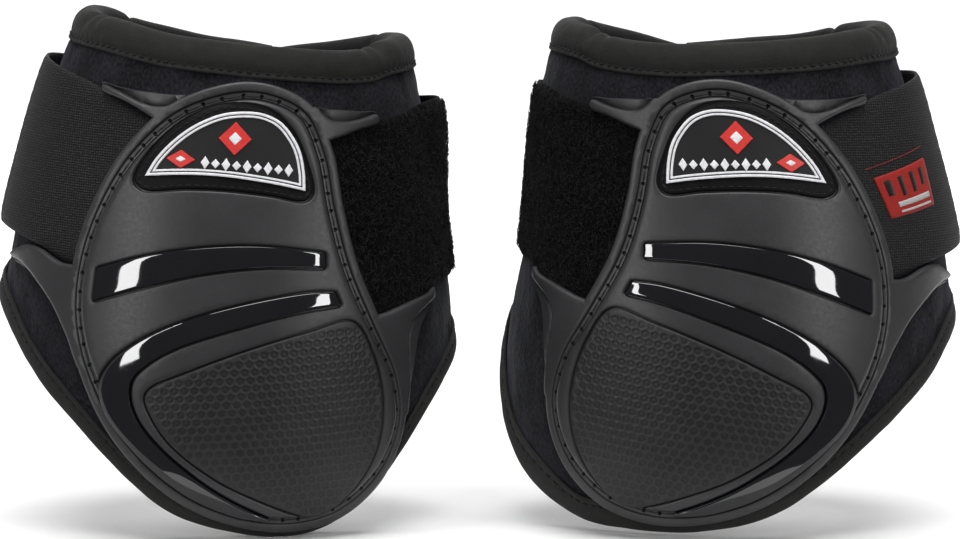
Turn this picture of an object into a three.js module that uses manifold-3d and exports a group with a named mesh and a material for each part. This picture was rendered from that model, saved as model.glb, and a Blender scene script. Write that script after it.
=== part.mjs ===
// A pair of fetlock boots for a horse's hind legs: a padded wrap with a moulded outer shell,
// closed round the back by an elastic strap that grips a loop panel. Millimetres, +Z up,
// the shells face -Y. The origin is the middle of the left boot's leg opening.
import * as THREE from 'three';
import { mergeVertices } from 'three/addons/utils/BufferGeometryUtils.js';
import Module from 'manifold-3d';

const wasm = await Module();
wasm.setup();

// ---- The pair ---------------------------------------------------------------------------
const PAIR_SPACING = 155;     // centre to centre
const LEAN = 3;               // degrees that both boots lean to +X
const ORIGIN_HEIGHT = 84;     // middle of the leg opening above the boot's lowest point
const BOOTS = [
  { side: 'left', x: 0, mirrored: false, neckShift: 0, yaw: 1.2, flare: 4.5, flatter: 0, label: false },
  { side: 'right', x: PAIR_SPACING, mirrored: true, neckShift: 5, yaw: -1.2, flare: 0, flatter: 3.5, label: true },
];

// ---- The form of one boot -----------------------------------------------------------------
// A place on a boot is an angle u and a height z: u is 0 at the front, positive towards the
// loop panel and negative towards the strap. An offset is a distance out of the wrap's face.
const HALF_WIDTH = line([[0, 56], [25, 66.5], [55, 70], [85, 67.2], [115, 61.5], [145, 53.5], [161, 46]]);
const FRONT_DEPTH = 0.95;     // share of the half width
const BACK_DEPTH = 0.85;
const NECK = [80, 150];       // heights between which the neck shifts sideways
// Where the loop side can be flatter: the angles and heights between which it begins and ends.
const FLAT_SIDE = { begin: [40, 90], end: [96, 138], bottom: [10, 76], top: [80, 140] };

const RIM = line([[-190, 147], [-150, 152], [-120, 157.5], [-90, 159], [-60, 157.5], [-30, 154.5], [0, 151.8],
  [30, 150.6], [48, 151.4], [60, 153.6], [90, 155], [120, 154], [150, 150], [168, 146.5]]);
// The wrap's lower edge. The right boot's wrap hangs lower on its loop side.
const FOOT_STRAP_SIDE = [[-190, 75], [-150, 75], [-120, 73], [-90, 68], [-70, 61.5], [-55, 49.5], [-40, 36],
  [-28, 23.5], [-16, 12.5], [-5, 6.8], [8, 4], [20, 3.2]];
const FOOT = {
  left: line([...FOOT_STRAP_SIDE, [31, 5], [40, 10], [48, 19.5], [60, 37.5], [70, 47], [82, 54], [100, 61],
    [125, 68], [168, 74]]),
  right: line([...FOOT_STRAP_SIDE, [31, 3], [40, 3], [48, 3.8], [57, 6.2], [67, 11], [75, 18], [83, 27], [91, 37],
    [102, 49], [116, 60], [136, 68], [168, 74]]),
};

// ---- The wrap: front, strap-side wing and loop-side wing, cut at the two flexing lines -----
const WRAP_SECTIONS = [
  { part: 'front', from: -78.8, to: 65.8, steps: 15, rows: 12, liningRows: 9 },
  { part: 'strap_wing', from: -190, to: -79.2, steps: 11, rows: 6, liningRows: 3 },
  { part: 'loop_wing', from: 66.2, to: 167.5, steps: 12, rows: 11, liningRows: 8 },
];
const LINER = { inner: -5, outer: 0 };
const LINING = { inner: -7.3, outer: -6.4 };
const COLLAR_DEPTH = 10.5;    // how far the padded collar reaches down from the rim
const HEM_DEPTH = 8;
const COLLAR_SLACK = 2.5;      // from the rim down to the liner's edge inside the collar
const HEM_SLACK = 2.3;
const LINING_INSET = 1;       // from the lining's edge to the collar and the hem
// Sections through the collar and the hem: [offset, height above or below the rim or foot].
const COLLAR_SECTION = [[0.4, -10.5], [1.3, -9.6], [1.7, -5.5], [1.1, -2], [-1.6, 0], [-4.8, -0.2], [-7, -2.2],
  [-7.7, -6.5], [-6.9, -10.4], [-5.8, -10.3], [-5.7, -2.1], [0.4, -1.7]];
const HEM_SECTION = [[0.7, 8], [1.5, 7.2], [1.5, 2], [-0.4, 0], [-5, 0], [-7.1, 2], [-7, 7.8], [-6, 7.9],
  [-5.9, 1.5], [0.7, 1.7]];

// ---- Strap and loop panel --------------------------------------------------------------------
const WEB = 1.2;              // thickness of the strap and the loop panel
const WEB_OFF = 0.4;          // clearance under them
const STRAP_LOW = line([[-222, 83.5], [-180, 84.5], [-150, 87], [-120, 90], [-95, 91], [-76, 90.1],
  [-54.6, 86.7], [-42.6, 82.7], [-20, 82.5]]);
const STRAP_HIGH = line([[-222, 133], [-180, 134], [-150, 137], [-120, 140.5], [-90, 141.5], [-60, 138.5],
  [-43.6, 134.9], [-24.6, 127.1], [-20, 125.5]]);
const STRAP_LIFT = line([[-222, 3.2], [-195, 3.2], [-175, 3], [-140, 3], [-110, 3.7], [-85, 3.8], [-62, 2.4],
  [-47, 0.3], [-40, 0], [-20, 0]]);
const STRAP_PIECES = [
  { part: 'strap_base', from: -46.6, to: -23, steps: 3, rows: 4 },
  { part: 'strap_side', from: -114.7, to: -47.2, steps: 8, rows: 4 },
  { part: 'strap_back', from: -174.7, to: -115.3, steps: 6, rows: 4 },
  { part: 'strap_tip', from: -216, to: -175.3, steps: 5, rows: 5 },
];
const HOOK = { from: -215, to: -194.5, margin: 3, off: 2.0, thick: 1.2 };
const PULL_TAB = { from: -224, to: -216.5, low: 98, high: 118 };
const LOOP_LOW = line([[25, 80], [38, 71.5], [45, 71.5], [56, 75.5], [67, 79.8], [88, 82], [120, 84],
  [166, 84]]);
const LOOP_HIGH = line([[25, 128.5], [46, 129.8], [60, 131.5], [75, 134], [90, 134.5], [120, 133.5],
  [166, 131]]);
const LOOP_PIECES = [
  { part: 'loop_base', from: 25, to: 65.8, steps: 5 },
  { part: 'loop_panel', from: 66.2, to: 166, steps: 10 },
];
// The left panel's top outer corner stands off the neck: where in u and z it rises and falls.
const FLARE = { rise: [66, 88], fall: [100, 134], upwards: [98, 132] };
const LABEL = { corners: [[-48.2, 101.1], [-62.3, 103.4], [-62.5, 117.3], [-48.2, 114.1]], thick: 0.7 };

// ---- Shell: outlines are [u, z] ------------------------------------------------------------
const SHELL = { under: 2.4, flange: 4.1, body: 6, flangeWidth: 5.6, edgeDrop: 0.5, edgeRound: 0.8, slope: 1,
  centre: [5, 68], rays: 28 };
const SHELL_OUTLINE = [[2, 139.5], [15, 138], [24, 132.5], [29, 120], [31, 104], [34.5, 87], [41, 70], [48, 55],
  [51, 40], [47, 23], [37, 11.5], [22, 7], [5, 8.8], [-10, 15.5], [-24, 29.5], [-34, 48.5], [-39.5, 68],
  [-40, 86], [-36, 104.5], [-29, 119.5], [-17, 132.5]];
const FIN = { under: 2.55, top: 3.8, rays: 12 };
const FINS = [
  { centre: [-22, 131], outline: [[-44, 136.4], [-34, 134.8], [-22, 135.4], [-12, 136.5], [-8, 131],
    [-16, 126.5], [-22, 126.6], [-31, 130.6], [-43.4, 134.2]] },
  { centre: [27, 129], outline: [[46.4, 131.2], [36, 131.8], [26, 132.6], [14, 138], [14, 130], [22, 123],
    [29, 123.8], [36, 127.2], [46.6, 128.8]] },
  { centre: [46, 67], outline: [[64.6, 80], [54, 77.4], [40, 72.4], [37, 70], [42, 60], [46.5, 43], [51, 42],
    [52.4, 51], [53.6, 60], [57.4, 69.6], [64.6, 76.4]] },
  { centre: [-44, 73], outline: [[-76, 82.4], [-62, 86.2], [-54, 85.4], [-45, 82.4], [-37, 81.4], [-34, 70],
    [-31, 52], [-36.4, 52.5], [-42, 64], [-51, 74], [-64, 79.6], [-75, 80.6]] },
];
const POCKET_FLOOR = 4.3;
const INLAY_FLOOR = 4.7;
const FIT = 0.35;             // clearance round an inlay
const BEYOND = 2;             // how far a cutting solid reaches past the faces it cuts
const WINDOW = { centre: [0, 116], rays: 24, outline: [[-24.6, 108.4], [-21.4, 117], [-14, 126],
  [-4.5, 131.6], [4, 132.6], [11, 130.8], [16.8, 125], [20.5, 115.5], [21.7, 107.5], [19.6, 105], [10.5, 106.3],
  [-0.5, 107.2], [-10.5, 107], [-21.6, 105.8]] };
const BADGE = { inset: 1.5, top: 5.4, borderInset: 1.9, borderWidth: 2, borderOff: 5.75, borderTop: 6.2 };
const EMBLEM = { centre: [0.5, 118.5], halfWidth: 4.6, halfHeight: 5.5 };
const UPPER_RIB = { from: -31.3, to: 24.5, steps: 8 };
const UPPER_RIB_LOW = line([[-31.3, 72.4], [-19, 77.5], [-5, 82.5], [9, 85.3], [24.5, 85.7]]);
const UPPER_RIB_HIGH = line([[-31.3, 82], [-19, 86.7], [-5, 90.3], [9, 91.5], [24.5, 90]]);
const LOWER_RIB = { steps: 18,
  outer: [[27, 78.6], [19.5, 78.2], [4, 74], [-10, 67.8], [-20, 61], [-26.5, 54], [-28.6, 47.5], [-27, 40.5],
    [-21, 31.5], [-13, 23], [-3, 16.2], [7, 12.2], [15, 11.4]],
  inner: [[28.5, 74.8], [19.5, 73], [3, 67], [-9.5, 61], [-16.5, 55.6], [-19.8, 51], [-20.3, 45.5], [-18, 38.5],
    [-12, 30.5], [-5, 24], [1, 19.6], [8, 15.6], [14.5, 12.6]] };
// Sections through the ribs: [offset, share of the width].
const RIB_SECTION = [[INLAY_FLOOR, 0], [6.1, 0], [6.9, 0.3], [6.9, 0.7], [6.1, 1], [INLAY_FLOOR, 1]];
const HEX_PANEL = { centre: [16, 38], top: 6.3, rays: 20, outline: [[31.5, 70], [20, 66.8], [5, 60.5],
  [-8, 53.5], [-15.5, 48.7], [-16.8, 46], [-15.8, 42], [-11, 33.5], [-1, 24.5], [10, 18.6], [23, 13.6],
  [27.5, 13.2], [34, 18.3], [39.4, 27.8], [41.3, 38], [40.5, 49], [37, 61]] };
const PAD = { inset: 24, under: 1, top: 1.7, rays: 20 };

// ---- Colours -------------------------------------------------------------------------------
const MATERIALS = {
  shell: cloth(0x3a3b3d, 0.5), gloss: cloth(0x0b0b0e, 0.12), hex: cloth(0x2e2f30, 0.55),
  badge: cloth(0x0c0c0c, 0.6), border: cloth(0xe8e8ea, 0.5), emblem: cloth(0xc0202a, 0.5),
  foam: cloth(0x444444, 0.9), liner: cloth(0x17171c, 0.9), lining: cloth(0x1c1c1f, 0.95),
  collar: cloth(0x2b2d2c, 0.8), strap: cloth(0x1e1f20, 0.8), loop: cloth(0x0a0a0a, 1),
  label: cloth(0xb8222b, 0.7),
};

function cloth(color, roughness) {
  return new THREE.MeshStandardMaterial({ color, roughness, metalness: 0 });
}

// ---- Curves ----------------------------------------------------------------------------------
// A smooth line through [x, y] points, straight beyond both ends.
function line(points) {
  const last = points.length - 1;
  const rise = (a, b) => (points[b][1] - points[a][1]) / (points[b][0] - points[a][0]);
  const slope = (i) => rise(Math.max(i - 1, 0), Math.min(i + 1, last));
  return (x) => {
    if (x <= points[0][0]) return points[0][1] + (x - points[0][0]) * rise(0, 1);
    if (x >= points[last][0]) return points[last][1] + (x - points[last][0]) * rise(last - 1, last);
    const i = points.findIndex((p, k) => k < last && x < points[k + 1][0]);
    const span = points[i + 1][0] - points[i][0];
    const t = (x - points[i][0]) / span;
    const ease = t * t * (3 - 2 * t);
    const bend = slope(i) * (t - 2 * t ** 2 + t ** 3) + slope(i + 1) * (t ** 3 - t ** 2);
    return points[i][1] * (1 - ease) + points[i + 1][1] * ease + bend * span;
  };
}

function smooth(low, high, x) {
  return THREE.MathUtils.smoothstep(x, low, high);
}

// ---- Points on a boot ------------------------------------------------------------------------
function face(u, z, boot) {
  const angle = THREE.MathUtils.degToRad(u);
  const width = HALF_WIDTH(z);
  const depth = width * (Math.cos(angle) > 0 ? FRONT_DEPTH : BACK_DEPTH);
  const flat = smooth(...FLAT_SIDE.begin, u) * (1 - smooth(...FLAT_SIDE.end, u))
    * smooth(...FLAT_SIDE.bottom, z) * (1 - smooth(...FLAT_SIDE.top, z));
  const shift = boot.neckShift * smooth(...NECK, z) - boot.flatter * flat;
  return new THREE.Vector3(shift + width * Math.sin(angle), -depth * Math.cos(angle), z);
}

function onBoot(u, z, offset, boot) {
  const step = 0.05;
  const round = face(u + step, z, boot).sub(face(u - step, z, boot));
  const up = face(u, z + step, boot).sub(face(u, z - step, boot));
  const outward = round.cross(up).normalize();
  return face(u, z, boot).addScaledVector(outward, offset);
}

// Millimetres of arc for one degree of u at height z.
function arcPerDegree(z) {
  return THREE.MathUtils.degToRad(HALF_WIDTH(z) * FRONT_DEPTH);
}

// ---- Closed solids -----------------------------------------------------------------------------
// Joins a geometry's shared corners, drops empty triangles and turns its faces outwards.
function closed(geometry) {
  geometry.deleteAttribute('normal');
  geometry.deleteAttribute('uv');
  const merged = mergeVertices(geometry, 1e-3);
  const corners = merged.index.array;
  const kept = [];
  for (let i = 0; i < corners.length; i += 3) {
    const [a, b, c] = [corners[i], corners[i + 1], corners[i + 2]];
    if (a !== b && b !== c && a !== c) kept.push(a, b, c);
  }
  if (volume(merged.attributes.position, kept) < 0) kept.reverse();
  merged.setIndex(kept);
  return merged;
}

function volume(position, corners) {
  const [a, b, c] = [new THREE.Vector3(), new THREE.Vector3(), new THREE.Vector3()];
  let total = 0;
  for (let i = 0; i < corners.length; i += 3) {
    a.fromBufferAttribute(position, corners[i]);
    b.fromBufferAttribute(position, corners[i + 1]);
    c.fromBufferAttribute(position, corners[i + 2]);
    total += a.dot(b.cross(c));
  }
  return total;
}

// Moves every point of a geometry by a function of its own coordinates.
function mapPoints(geometry, move) {
  const position = geometry.attributes.position;
  for (let i = 0; i < position.count; i += 1) {
    const p = move(position.getX(i), position.getY(i), position.getZ(i));
    position.setXYZ(i, p.x, p.y, p.z);
  }
  return closed(geometry);
}

// Extrudes a section and lays it on the boot. place(along, across) gives the [u, z] of a point,
// and lift(u, z) is added to the section's offsets.
function swept(section, steps, place, boot, lift = () => 0) {
  const shape = new THREE.Shape(section.map(([offset, across]) => new THREE.Vector2(offset, across)));
  const solid = new THREE.ExtrudeGeometry(shape, { depth: 1, steps, curveSegments: 1, bevelEnabled: false });
  return mapPoints(solid, (offset, across, along) => {
    const [u, z] = place(along, across);
    return onBoot(u, z, offset + lift(u, z), boot);
  });
}

// A slab's section with the given number of rows from edge to edge.
function slabSection(inner, outer, rows) {
  const shares = Array.from({ length: rows + 1 }, (_, i) => i / rows);
  return [...shares.map((s) => [outer, s]), ...shares.reverse().map((s) => [inner, s])];
}

// A layer of the wrap between two offsets, divided evenly along and across.
function layer({ inner, outer }, steps, rows, place, boot) {
  const solid = new THREE.BoxGeometry(outer - inner, 1, 1, 1, rows, steps);
  solid.translate((inner + outer) / 2, 0.5, 0.5);
  return mapPoints(solid, (offset, across, along) => {
    const [u, z] = place(along, across);
    return onBoot(u, z, offset, boot);
  });
}

// A band between two heights that both follow u.
function band(span, low, high) {
  return (along, across) => {
    const u = THREE.MathUtils.lerp(span.from, span.to, along);
    return [u, THREE.MathUtils.lerp(low(u), high(u), across)];
  };
}

// ---- Plates with a closed outline ---------------------------------------------------------------
// Points round a closed outline, each with the direction to the plate's centre.
function outlineRays(outline, centre, rays) {
  const curve = new THREE.CatmullRomCurve3(outline.map(([u, z]) => new THREE.Vector3(u, z, 0)), true);
  curve.arcLengthDivisions = 400;
  return Array.from({ length: rays }, (_, i) => {
    const edge = curve.getPointAt(i / rays);
    const tangent = curve.getTangentAt(i / rays);
    const scale = arcPerDegree(edge.y);
    const ray = new THREE.Vector2((centre[0] - edge.x) * scale, centre[1] - edge.y);
    const along = new THREE.Vector2(tangent.x * scale, tangent.y).normalize();
    const reach = ray.length();
    ray.normalize();
    return { edge, ray, scale, reach, slant: Math.max(0.35, Math.abs(ray.cross(along))) };
  });
}

// A plate from an outline. stations run from the axis under the plate, out to the edge and back
// over the top: each is [inset from the edge in mm, or share of the ray below 'share', offset].
function plate(outline, centre, rays, stations, boot) {
  const spokes = outlineRays(outline, centre, rays);
  const profile = stations.map((s, i) => new THREE.Vector2(s.share === 0 ? 0 : 1 + i, i));
  const solid = new THREE.LatheGeometry(profile, rays);
  return mapPoints(solid, (x, level, z) => {
    const station = stations[Math.round(level)];
    if (station.share === 0) return onBoot(centre[0], centre[1], station.offset, boot);
    const turn = Math.round((Math.atan2(x, z) / (2 * Math.PI)) * rays + rays) % rays;
    const spoke = spokes[turn];
    const inward = spoke.reach * (1 - (station.share ?? 1)) + (station.inset ?? 0) / spoke.slant;
    const u = spoke.edge.x + (spoke.ray.x * inward) / spoke.scale;
    return onBoot(u, spoke.edge.y + spoke.ray.y * inward, station.offset, boot);
  });
}

// Stations of a plain plate: flat below, flat above, edge grown outwards by grow.
function flatStations(under, top, shares, inset = 0) {
  const rings = shares.map((share) => ({ share, inset: inset * share, offset: under }));
  const above = rings.map((ring) => ({ ...ring, offset: top })).reverse();
  return [{ share: 0, offset: under }, ...rings, ...above, { share: 0, offset: top }];
}

// ---- Joining and cutting ---------------------------------------------------------------------------
function toManifold(geometry) {
  return new wasm.Manifold(new wasm.Mesh({
    numProp: 3,
    vertProperties: new Float32Array(geometry.attributes.position.array),
    triVerts: new Uint32Array(geometry.index.array),
  }));
}

function fromManifold(solid) {
  const mesh = solid.getMesh();
  const geometry = new THREE.BufferGeometry();
  geometry.setAttribute('position', new THREE.BufferAttribute(mesh.vertProperties, 3));
  geometry.setIndex(Array.from(mesh.triVerts));
  return geometry;
}

function joined(first, others) {
  return fromManifold(others.reduce((solid, other) => solid.add(toManifold(other)), toManifold(first)));
}

function cut(first, tools) {
  return fromManifold(tools.reduce((solid, tool) => solid.subtract(toManifold(tool)), toManifold(first)));
}

// ---- The wrap ---------------------------------------------------------------------------------------
function wrapPieces(boot) {
  const foot = FOOT[boot.side];
  return WRAP_SECTIONS.flatMap((span) => {
    const liner = band(span, (u) => foot(u) + HEM_SLACK, (u) => RIM(u) - COLLAR_SLACK);
    const lining = band(span, (u) => foot(u) + HEM_DEPTH + LINING_INSET,
      (u) => RIM(u) - COLLAR_DEPTH - LINING_INSET);
    const collar = (along, across) => edgePlace(span, RIM, along, across);
    const hem = (along, across) => edgePlace(span, foot, along, across);
    return [
      [`liner_${span.part}`, 'liner', layer(LINER, span.steps, span.rows, liner, boot)],
      [`lining_${span.part}`, 'lining', layer(LINING, span.steps, span.liningRows, lining, boot)],
      [`collar_${span.part}`, 'collar', swept(COLLAR_SECTION, span.steps, collar, boot)],
      [`hem_${span.part}`, 'collar', swept(HEM_SECTION, span.steps, hem, boot)],
    ];
  });
}

function edgePlace(span, edge, along, height) {
  const u = THREE.MathUtils.lerp(span.from, span.to, along);
  return [u, edge(u) + height];
}

// ---- Strap, loop panel and label -------------------------------------------------------------------------
function strapPieces(boot) {
  const lift = (u) => STRAP_LIFT(u);
  const web = (rows) => slabSection(WEB_OFF, WEB_OFF + WEB, rows);
  const webs = STRAP_PIECES.map((span) => [
    span.part, 'strap', swept(web(span.rows), span.steps, band(span, STRAP_LOW, STRAP_HIGH), boot, lift)]);
  const hook = swept(slabSection(HOOK.off, HOOK.off + HOOK.thick, 3), 3,
    band(HOOK, (u) => STRAP_LOW(u) + HOOK.margin, (u) => STRAP_HIGH(u) - HOOK.margin), boot);
  const tab = swept(slabSection(WEB_OFF, WEB_OFF + WEB, 1), 1,
    band(PULL_TAB, () => PULL_TAB.low, () => PULL_TAB.high), boot, lift);
  return [...webs, ['hook_pad', 'loop', hook], ['pull_tab', 'shell', tab]];
}

function loopPieces(boot) {
  const lift = (u, z) => (
    boot.flare * smooth(...FLARE.rise, u) * (1 - smooth(...FLARE.fall, u)) * smooth(...FLARE.upwards, z));
  const web = slabSection(WEB_OFF, WEB_OFF + WEB, 5);
  return LOOP_PIECES.map((span) => [
    span.part, 'loop', swept(web, span.steps, band(span, LOOP_LOW, LOOP_HIGH), boot, lift)]);
}

function labelPiece(boot) {
  const off = WEB_OFF * 2 + WEB;
  const section = slabSection(off, off + LABEL.thick, 2);
  const piece = swept(section, 3, corners(LABEL.corners), boot, (u) => STRAP_LIFT(u));
  return ['strap_label', 'label', piece];
}

// ---- The shell and what is set into it ----------------------------------------------------------------------
function shellPiece(boot) {
  const { under, flange, body, flangeWidth, edgeDrop, edgeRound, slope, centre, rays } = SHELL;
  const below = [0.25, 0.5, 0.75].map((share) => ({ share, offset: under }));
  const above = [0.7, 0.45, 0.22].map((share) => ({ share, offset: body }));
  const stations = [{ share: 0, offset: under }, ...below,
    { inset: 0, offset: under }, { inset: 0, offset: flange - edgeDrop }, { inset: edgeRound, offset: flange },
    { inset: flangeWidth, offset: flange }, { inset: flangeWidth + slope, offset: body }, ...above,
    { share: 0, offset: body }];
  const base = plate(SHELL_OUTLINE, centre, rays, stations, boot);
  const fins = FINS.map((fin) => (
    plate(fin.outline, fin.centre, FIN.rays, flatStations(FIN.under, FIN.top, [0.5, 1]), boot)));
  return cut(joined(base, fins), pockets(boot));
}

function pockets(boot) {
  const top = SHELL.body + BEYOND;
  const groove = slabSection(POCKET_FLOOR, top, 1);
  return [
    plate(WINDOW.outline, WINDOW.centre, WINDOW.rays, flatStations(POCKET_FLOOR, top, [0.5, 1]), boot),
    plate(HEX_PANEL.outline, HEX_PANEL.centre, HEX_PANEL.rays,
      flatStations(POCKET_FLOOR, top, [0.35, 0.7, 1], -FIT), boot),
    swept(groove, UPPER_RIB.steps, grown(upperRib), boot),
    swept(groove, LOWER_RIB.steps, grown(lowerRib), boot),
  ];
}

const NEARBY = 0.02;          // share of a rib's length over which its direction is measured
const upperRib = band(UPPER_RIB, UPPER_RIB_LOW, UPPER_RIB_HIGH);
const [outerEdge, innerEdge] = [LOWER_RIB.outer, LOWER_RIB.inner].map((points) => (
  new THREE.CatmullRomCurve3(points.map(([u, z]) => new THREE.Vector3(u, z, 0)))));

function lowerRib(along, across) {
  const a = outerEdge.getPoint(THREE.MathUtils.clamp(along, 0, 1));
  const b = innerEdge.getPoint(THREE.MathUtils.clamp(along, 0, 1));
  const p = a.lerp(b, across);
  return [p.x, p.y];
}

// A place function whose area is FIT mm larger all round.
function grown(place) {
  return (along, across) => {
    const ends = [place(along, 0), place(along, 1)];
    const scale = arcPerDegree(ends[0][1]);
    const width = Math.hypot((ends[1][0] - ends[0][0]) * scale, ends[1][1] - ends[0][1]);
    const wider = across + ((across > 0.5 ? 1 : -1) * FIT) / width;
    const [u, z] = place(along, wider);
    const [u0, z0] = place(Math.min(along + NEARBY, 1), 0.5);
    const [u1, z1] = place(Math.max(along - NEARBY, 0), 0.5);
    const run = Math.hypot((u0 - u1) * scale, z0 - z1);
    const end = along === 0 ? -FIT : along === 1 ? FIT : 0;
    return [u + ((u0 - u1) * end) / run, z + ((z0 - z1) * end) / run];
  };
}

function inlays(boot) {
  const badge = (inset, under, top) => plate(WINDOW.outline, WINDOW.centre, WINDOW.rays, [
    { share: 0, offset: under }, { share: 0.5, offset: under }, { inset, offset: under },
    { inset, offset: top }, { share: 0.5, offset: top }, { share: 0, offset: top }], boot);
  const { inset, top, borderInset, borderWidth, borderOff, borderTop } = BADGE;
  const border = cut(badge(borderInset, borderOff, borderTop),
    [badge(borderInset + borderWidth, borderOff - BEYOND, borderTop + BEYOND)]);
  const [u, z] = EMBLEM.centre;
  const w = EMBLEM.halfWidth / arcPerDegree(z);
  const h = EMBLEM.halfHeight;
  const lozenge = [[u + w, z], [u, z + h], [u - w, z], [u, z - h]];
  return [
    ['badge_patch', 'badge', badge(inset, INLAY_FLOOR, top)],
    ['badge_border', 'border', border],
    ['badge_emblem', 'emblem', swept(slabSection(borderOff, borderTop, 1), 1, corners(lozenge), boot)],
    ['upper_gloss_rib', 'gloss', swept(RIB_SECTION, UPPER_RIB.steps, upperRib, boot)],
    ['lower_gloss_rib', 'gloss', swept(RIB_SECTION, LOWER_RIB.steps, lowerRib, boot)],
    ['hex_panel', 'hex', plate(HEX_PANEL.outline, HEX_PANEL.centre, HEX_PANEL.rays,
      flatStations(INLAY_FLOOR, HEX_PANEL.top, [0.35, 0.7, 1]), boot)],
    ['impact_pad', 'foam', plate(SHELL_OUTLINE, SHELL.centre, PAD.rays, padStations(), boot)],
  ];
}

function padStations() {
  const { inset, under, top } = PAD;
  return [{ share: 0, offset: under }, { share: 0.3, offset: under }, { inset, offset: under },
    { inset, offset: top }, { share: 0.3, offset: top }, { share: 0, offset: top }];
}

// A four-cornered place function.
function corners([a, b, c, d]) {
  const mix = (p, q, t) => [p[0] + (q[0] - p[0]) * t, p[1] + (q[1] - p[1]) * t];
  return (along, across) => mix(mix(a, b, along), mix(d, c, along), across);
}

// ---- The pair -------------------------------------------------------------------------------------------
function bootGroup(boot) {
  const pieces = [
    ['shell', 'shell', shellPiece(boot)],
    ...inlays(boot),
    ...wrapPieces(boot),
    ...strapPieces(boot),
    ...loopPieces(boot),
    ...(boot.label ? [labelPiece(boot)] : []),
  ];
  const shaped = new THREE.Group();
  shaped.position.z = -ORIGIN_HEIGHT;
  shaped.rotation.z = THREE.MathUtils.degToRad(boot.yaw);
  for (const [name, material, geometry] of pieces) {
    const mesh = new THREE.Mesh(geometry, MATERIALS[material]);
    mesh.name = `${boot.side}_${name}`;
    shaped.add(mesh);
  }
  const handed = new THREE.Group();
  handed.scale.x = boot.mirrored ? -1 : 1;
  handed.add(shaped);
  const placed = new THREE.Group();
  placed.position.x = boot.x;
  placed.rotation.y = THREE.MathUtils.degToRad(LEAN);
  placed.add(handed);
  return placed;
}

const group = new THREE.Group();
for (const boot of BOOTS) group.add(bootGroup(boot));

export default group;
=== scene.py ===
import math

import bpy
import numpy as np
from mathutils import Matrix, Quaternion, Vector
from mathutils.geometry import delaunay_2d_cdt

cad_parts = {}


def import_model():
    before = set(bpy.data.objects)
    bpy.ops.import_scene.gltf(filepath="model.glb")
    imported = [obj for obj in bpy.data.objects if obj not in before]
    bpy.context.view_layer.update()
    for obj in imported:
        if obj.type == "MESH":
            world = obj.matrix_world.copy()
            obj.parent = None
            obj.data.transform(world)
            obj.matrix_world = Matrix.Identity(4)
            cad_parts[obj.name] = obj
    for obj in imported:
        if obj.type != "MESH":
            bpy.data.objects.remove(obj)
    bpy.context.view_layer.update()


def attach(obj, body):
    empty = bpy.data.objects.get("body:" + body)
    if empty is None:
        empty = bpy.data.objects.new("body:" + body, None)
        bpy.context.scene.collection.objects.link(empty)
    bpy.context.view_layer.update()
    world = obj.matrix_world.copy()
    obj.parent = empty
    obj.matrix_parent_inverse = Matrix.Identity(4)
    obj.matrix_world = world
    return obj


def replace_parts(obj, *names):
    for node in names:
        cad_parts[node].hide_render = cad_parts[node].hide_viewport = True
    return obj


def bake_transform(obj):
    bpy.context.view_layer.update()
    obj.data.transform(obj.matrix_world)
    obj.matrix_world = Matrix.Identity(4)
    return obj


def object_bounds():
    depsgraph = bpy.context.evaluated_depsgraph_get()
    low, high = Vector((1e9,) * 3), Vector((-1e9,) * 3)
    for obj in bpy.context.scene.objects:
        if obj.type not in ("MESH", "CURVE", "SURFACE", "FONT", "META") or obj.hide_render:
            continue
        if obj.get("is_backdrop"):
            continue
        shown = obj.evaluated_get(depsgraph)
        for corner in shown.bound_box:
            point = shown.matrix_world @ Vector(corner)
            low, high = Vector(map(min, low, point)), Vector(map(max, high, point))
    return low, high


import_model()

# ---- The pair -----------------------------------------------------------------------------
PAIR_SPACING = 155
LEAN = math.radians(3)
ORIGIN_HEIGHT = 84
# neck, flare and flatter are in mm: how far the boot's neck leans to its loop side, how far its
# loop panel stands out, and how much flatter its loop side is. wide_hem is a share of the hem.
BOOTS = [
    {"side": "left", "x": 0, "mirror": 1, "yaw": math.radians(1.2), "seed": 3,
     "neck": 0, "flare": 4.5, "flatter": 0, "wide_hem": 0},
    {"side": "right", "x": PAIR_SPACING, "mirror": -1, "yaw": math.radians(-1.2), "seed": 8,
     "neck": 5, "flare": 0, "flatter": 3.5, "wide_hem": 0.9},
]

# ---- Camera and light, in metres ----------------------------------------------------------
CAMERA_TARGET = (PAIR_SPACING / 2000, 0, -0.005)
CAMERA_DISTANCE = 1.6
CAMERA_ELEVATION = math.radians(5)
CAMERA_LENS = 193.5
STRIP = {"angle": math.radians(49.5), "distance": 1.25, "width": 0.2, "low": -0.13, "high": 1.5, "power": 11,
         "lean": math.radians(12)}
SKY = {"strength": 3.4, "spread": math.radians(50), "tilt": math.radians(8)}
FILL = {"strength": 2.0, "spread": math.radians(40), "tilt": math.radians(75)}
WORLD_SEEN = 1.0
WORLD_LIGHT = 0.1
BACK_LIGHT = {"distance": 1.8, "height": 0.9, "size": 1.5, "power": 14}
FLOOR_SIZE = 12
FLOOR_FRONT = -0.1     # the floor ends just in front of the boots, where the white world takes over


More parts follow.
